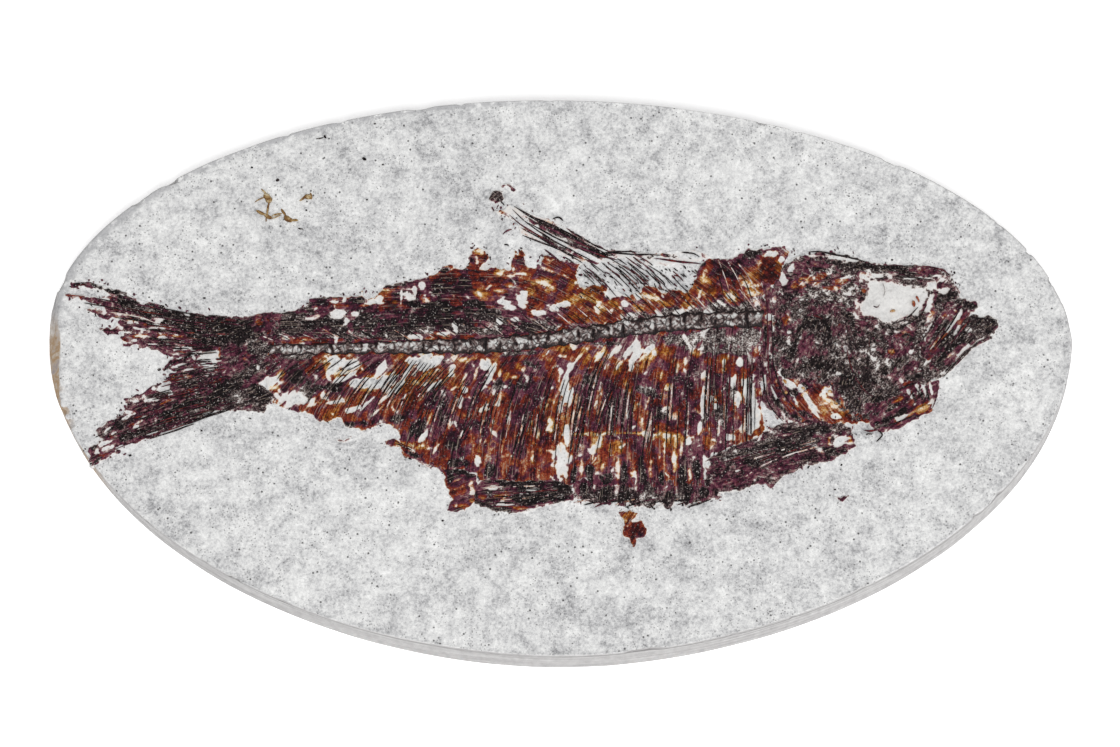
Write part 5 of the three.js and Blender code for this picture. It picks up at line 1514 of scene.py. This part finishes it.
flecks = [  # (line, width, film, tone)
    ([(38.3, 11.1), (38.9, 10.8)], .55, 0.4, -0.3), ([(41.9, 8.3), (42.6, 8.4)], .3, 0.25, -0.9),
    ([(44.8, 9.7), (45, 8.9)], .45, 0.2, 0.2), ([(45.2, 10.3), (45.6, 9.5)], .3, 0.3, 0.0),
    ([(28.4, -.5), (28.8, -1)], .4, *HONEY), ([(28.6, -2), (29, -2.4)], .35, *HONEY),
    ([(30.7, -1.5), (31.1, -1.8)], .3, *HONEY), ([(34, -2.1), (34.5, -2)], .35, *HONEY),
    ([(39.8, 9), (40.3, 8.8), (40.6, 9.2)], .1, 0.5, 0.9), ([(41, 12), (41.3, 11), (41.1, 10.2)], .07, 0.1,
                                                            1.2),
    ([(34.8, -3.4), (35.3, -3.7)], .4, *HONEY), ([(45.2, -4.6), (46.7, -3.8)], .75, *HONEY),
]
jagged = []
for _ in range(70):
    x, y = chance.uniform(28.5, 46.5), chance.uniform(-3.5, 13)
    if inside_distance(np.array([x]), np.array([y]), socket_outline)[0] < -0.5:
        turn, long = chance.uniform(0, math.pi), chance.uniform(0.5, 1.4)
        jagged.append([(x, y), (x + long * math.cos(turn), y + long * math.sin(turn))])
head_rods = rods(head_lines, 0.17, (DARK, DARK, BROWN)) + rods(jagged, 0.1, (DARK, BROWN))
head_ridges = strands("head_ridges", head_rods + flecks, above=0.36, seed=290)
settle(head_ridges, "dark_bone")


# ---- Strays ----
# Scales and splinters that drifted off before the fish was buried, and two scraps of ochre, each lying alone
# on the stone.
red_scale_outline = [
    (7.7, -17.5), (9.2, -17.3), (10.1, -17.7), (9.7, -18.4), (10.6, -18.6), (11.2, -19.6), (10.9, -20.6),
    (9.9, -20.9), (9.6, -21.8), (9.1, -20.9), (8.4, -20.8), (8.1, -19.8), (8.6, -19.1), (8.2, -18.4),
]
red_scale_marks = {"amber": [(8.9, -17.9, .9, .4, 0)], "gap": [(9.8, -18.6, .4, .15, 0)],
                   "maroon": [(9.6, -20, .9, .8, 0)], "cream": [(8.6, -18.7, .3, .2, 0)]}
red_scale = relief_sheet("red_scale", red_scale_outline, lie(60), red_scale_marks, full=0.6, tone=-0.1,
                         blotches=0.25, seed=301, step=0.1)
settle(red_scale, "scale_film", "stray_red_scale")

loose = (
    ("fin_scale", "stray_fin_scale", "dark_bone", 1.0, [
        (-8.7, 23.6), (-8.1, 24.1), (-7.3, 23.9), (-7.1, 23), (-7.6, 22.4), (-8.5, 22.5), (-8.9, 23)]),
    ("fin_splinter", "stray_fin_splinter", "dark_bone", 1.0, [
        (-7.5, 24.9), (-6.3, 24.9), (-5.6, 24.1), (-5.8, 23.9), (-6.6, 24.5), (-7.4, 24.6)]),
    ("throat_splinter", "stray_throat_splinter", "dark_bone", 0.8, [
        (34.8, -15.5), (35.6, -15.6), (36.6, -15.4), (36.2, -15.9), (35.9, -16.3), (35.6, -15.9)]),
    ("tail_splinter", "stray_tail_splinter", "dark_bone", 0.8, [
        (-28.2, -8.1), (-27.2, -8.2), (-26.2, -7.8), (-26.2, -8.2), (-27, -8.5), (-27.9, -8.5)]),
)
for number, (name, node, slot_name, dark, outline) in enumerate(loose):
    scrap = relief_sheet(name, outline, lie(40), {}, full=0.6, tone=dark, blotches=0.3, seed=311 + number,
                         step=0.09, ragged=0.25, taper=0.2, lift=0.14)
    settle(scrap, slot_name, node)

ochre, start = new_material("ochre_crust")
place = start.node("ShaderNodeTexCoord", {}, {}, "Object")
stain = speckle(start, place, 0.7, 3, 0.7)
color = stain.node("ShaderNodeValToRGB", {"stops": (
    (0.34, srgb(92, 62, 36)), (0.45, srgb(122, 90, 52)), (0.53, srgb(150, 124, 84)),
    (0.64, srgb(190, 176, 146)))},
    {"Fac": stain})
finish(ochre, color, 0.8, stain, 0.15)
ochre.node_tree.nodes["Principled BSDF"].inputs["Specular IOR Level"].default_value = 0.2
scrap_strokes = [
    ([(-38, 24.3), (-37.5, 23.9), (-37.1, 23.2)], 0.3), ([(-37.6, 23.7), (-37, 22.9), (-36.9, 22.4)], 0.75),
    ([(-36.9, 22.6), (-37, 21.8), (-37.2, 20.8)], 0.3),
    ([(-37.4, 23.3), (-38.1, 22.9), (-38.8, 22.5)], 0.16),
    ([(-38.6, 21.5), (-38, 21.2), (-37.3, 20.9)], 0.42), ([(-37.6, 21), (-37.1, 20.6), (-36.5, 20.5)], 0.5),
    ([(-37.2, 20.7), (-37.3, 20.4), (-37.3, 20)], 0.22), ([(-36.6, 20.7), (-36, 21), (-35.3, 21.1)], 0.24),
    ([(-36.6, 20.4), (-36, 20.5), (-35.4, 20.9)], 0.2),
    ([(-35.4, 21.7), (-35.1, 21.2), (-34.8, 20.8)], 0.4),
    ([(-35, 20.8), (-34.5, 20.4), (-33.9, 20.1)], 0.62), ([(-34.3, 20), (-33.8, 20.1), (-33.2, 20.2)], 0.3),
]
chip_strokes = [
    ([(-33.1, 22.7), (-32.7, 23.1), (-32.2, 23.4)], 0.3),
    ([(-32.5, 23.3), (-32, 23.3), (-31.5, 23.1)], 0.62),
    ([(-31.7, 23.8), (-31.6, 23.4), (-31.6, 22.9)], 0.4),
]
for name, node, strokes, seed in (("ochre_scrap", "stray_ochre_scrap", scrap_strokes, 315),
                                  ("ochre_chip", "stray_ochre_chip", chip_strokes, 316)):
    crust = strands(name, [(line, width, 0.5, -1.3) for line, width in strokes], above=0.03, wander=0.12,
                    seed=seed)
    settle(crust, "ochre_film", node, finish_with=ochre)


# ---- Crumbs ----
# Crumbs of bone and film lie scattered a little way out from the fish's edge, and black mineral grains, some
# of them strung in short dashes, are set here and there in the stone.
edges = [(outline, a, b) for outline in (back_outline, belly_outline, upper_outline, lower_outline,
                                         dorsal_outline,
                                         vent_outline, pectoral_outline, keel_outline, skull_outline)
         for a, b in zip(outline, outline[1:])]
crumb_paths = []
while len(crumb_paths) < 260:
    outline, (ax, ay), (bx, by) = edges[int(chance.integers(len(edges)))]
    along = chance.uniform(0, 1)
    away = chance.uniform(0.15, 0.75) ** 1.5 + 0.1
    turn = chance.uniform(0, 2 * math.pi)
    x, y = ax + (bx - ax) * along + away * math.cos(turn), ay + (by - ay) * along + away * math.sin(turn)
    clear = [float(inside_distance(np.array([x]), np.array([y]), other)[0])
             for other in (back_outline, belly_outline, outline)]
    if max(clear) < -0.05:
        turn, long = chance.uniform(0, math.pi), chance.uniform(0.12, 0.5)
        line = [(x, y), (x + long * math.cos(turn), y + long * math.sin(turn))]
        crumb_paths.append((line, chance.uniform(0.1, 0.3), *(DARK, BROWN,
                                                              (0.6, 0.7))[len(crumb_paths) % 3]))
grains = (  # (x, y, length, width, angle)
    (-35.9, 25.4, .5, .45, 20), (-24.9, 28.2, .6, .5, -30), (-30.6, 30.9, 1, .14, 10),
    (-29.9, 31.1, .5, .3, -60),
    (-32.9, 19.1, .7, .16, -12), (-22.5, 27.4, .3, .26, 0), (-23.6, 32.8, .3, .26, 0),
    (-39.2, 27.1, .3, .22, 0),
    (-32.2, 21.5, .25, .22, 0), (-24.5, 22.9, .25, .2, 0), (34.9, -14.6, .3, .22, 0),
    (35.7, -11.4, .3, .22, 40),
    (-14.5, -18.6, .3, .22, 0), (-55, 9.2, .4, .2, 30), (-54.1, -10.2, .4, .26, 10),
    (-45.1, -7.1, .3, .26, 0),
    (-39, -5.5, .4, .16, -20), (-45, 10.1, .36, .24, 0),
)
for x, y, long, wide, angle in grains:
    half_x, half_y = long / 2 * math.cos(math.radians(angle)), long / 2 * math.sin(math.radians(angle))
    crumb_paths.append(([(x - half_x, y - half_y), (x + half_x, y + half_y)], wide, 1.1, 1.4))
crumbs = strands("crumbs", crumb_paths, above=0.02, seed=330)
settle(crumbs, "dark_bone")
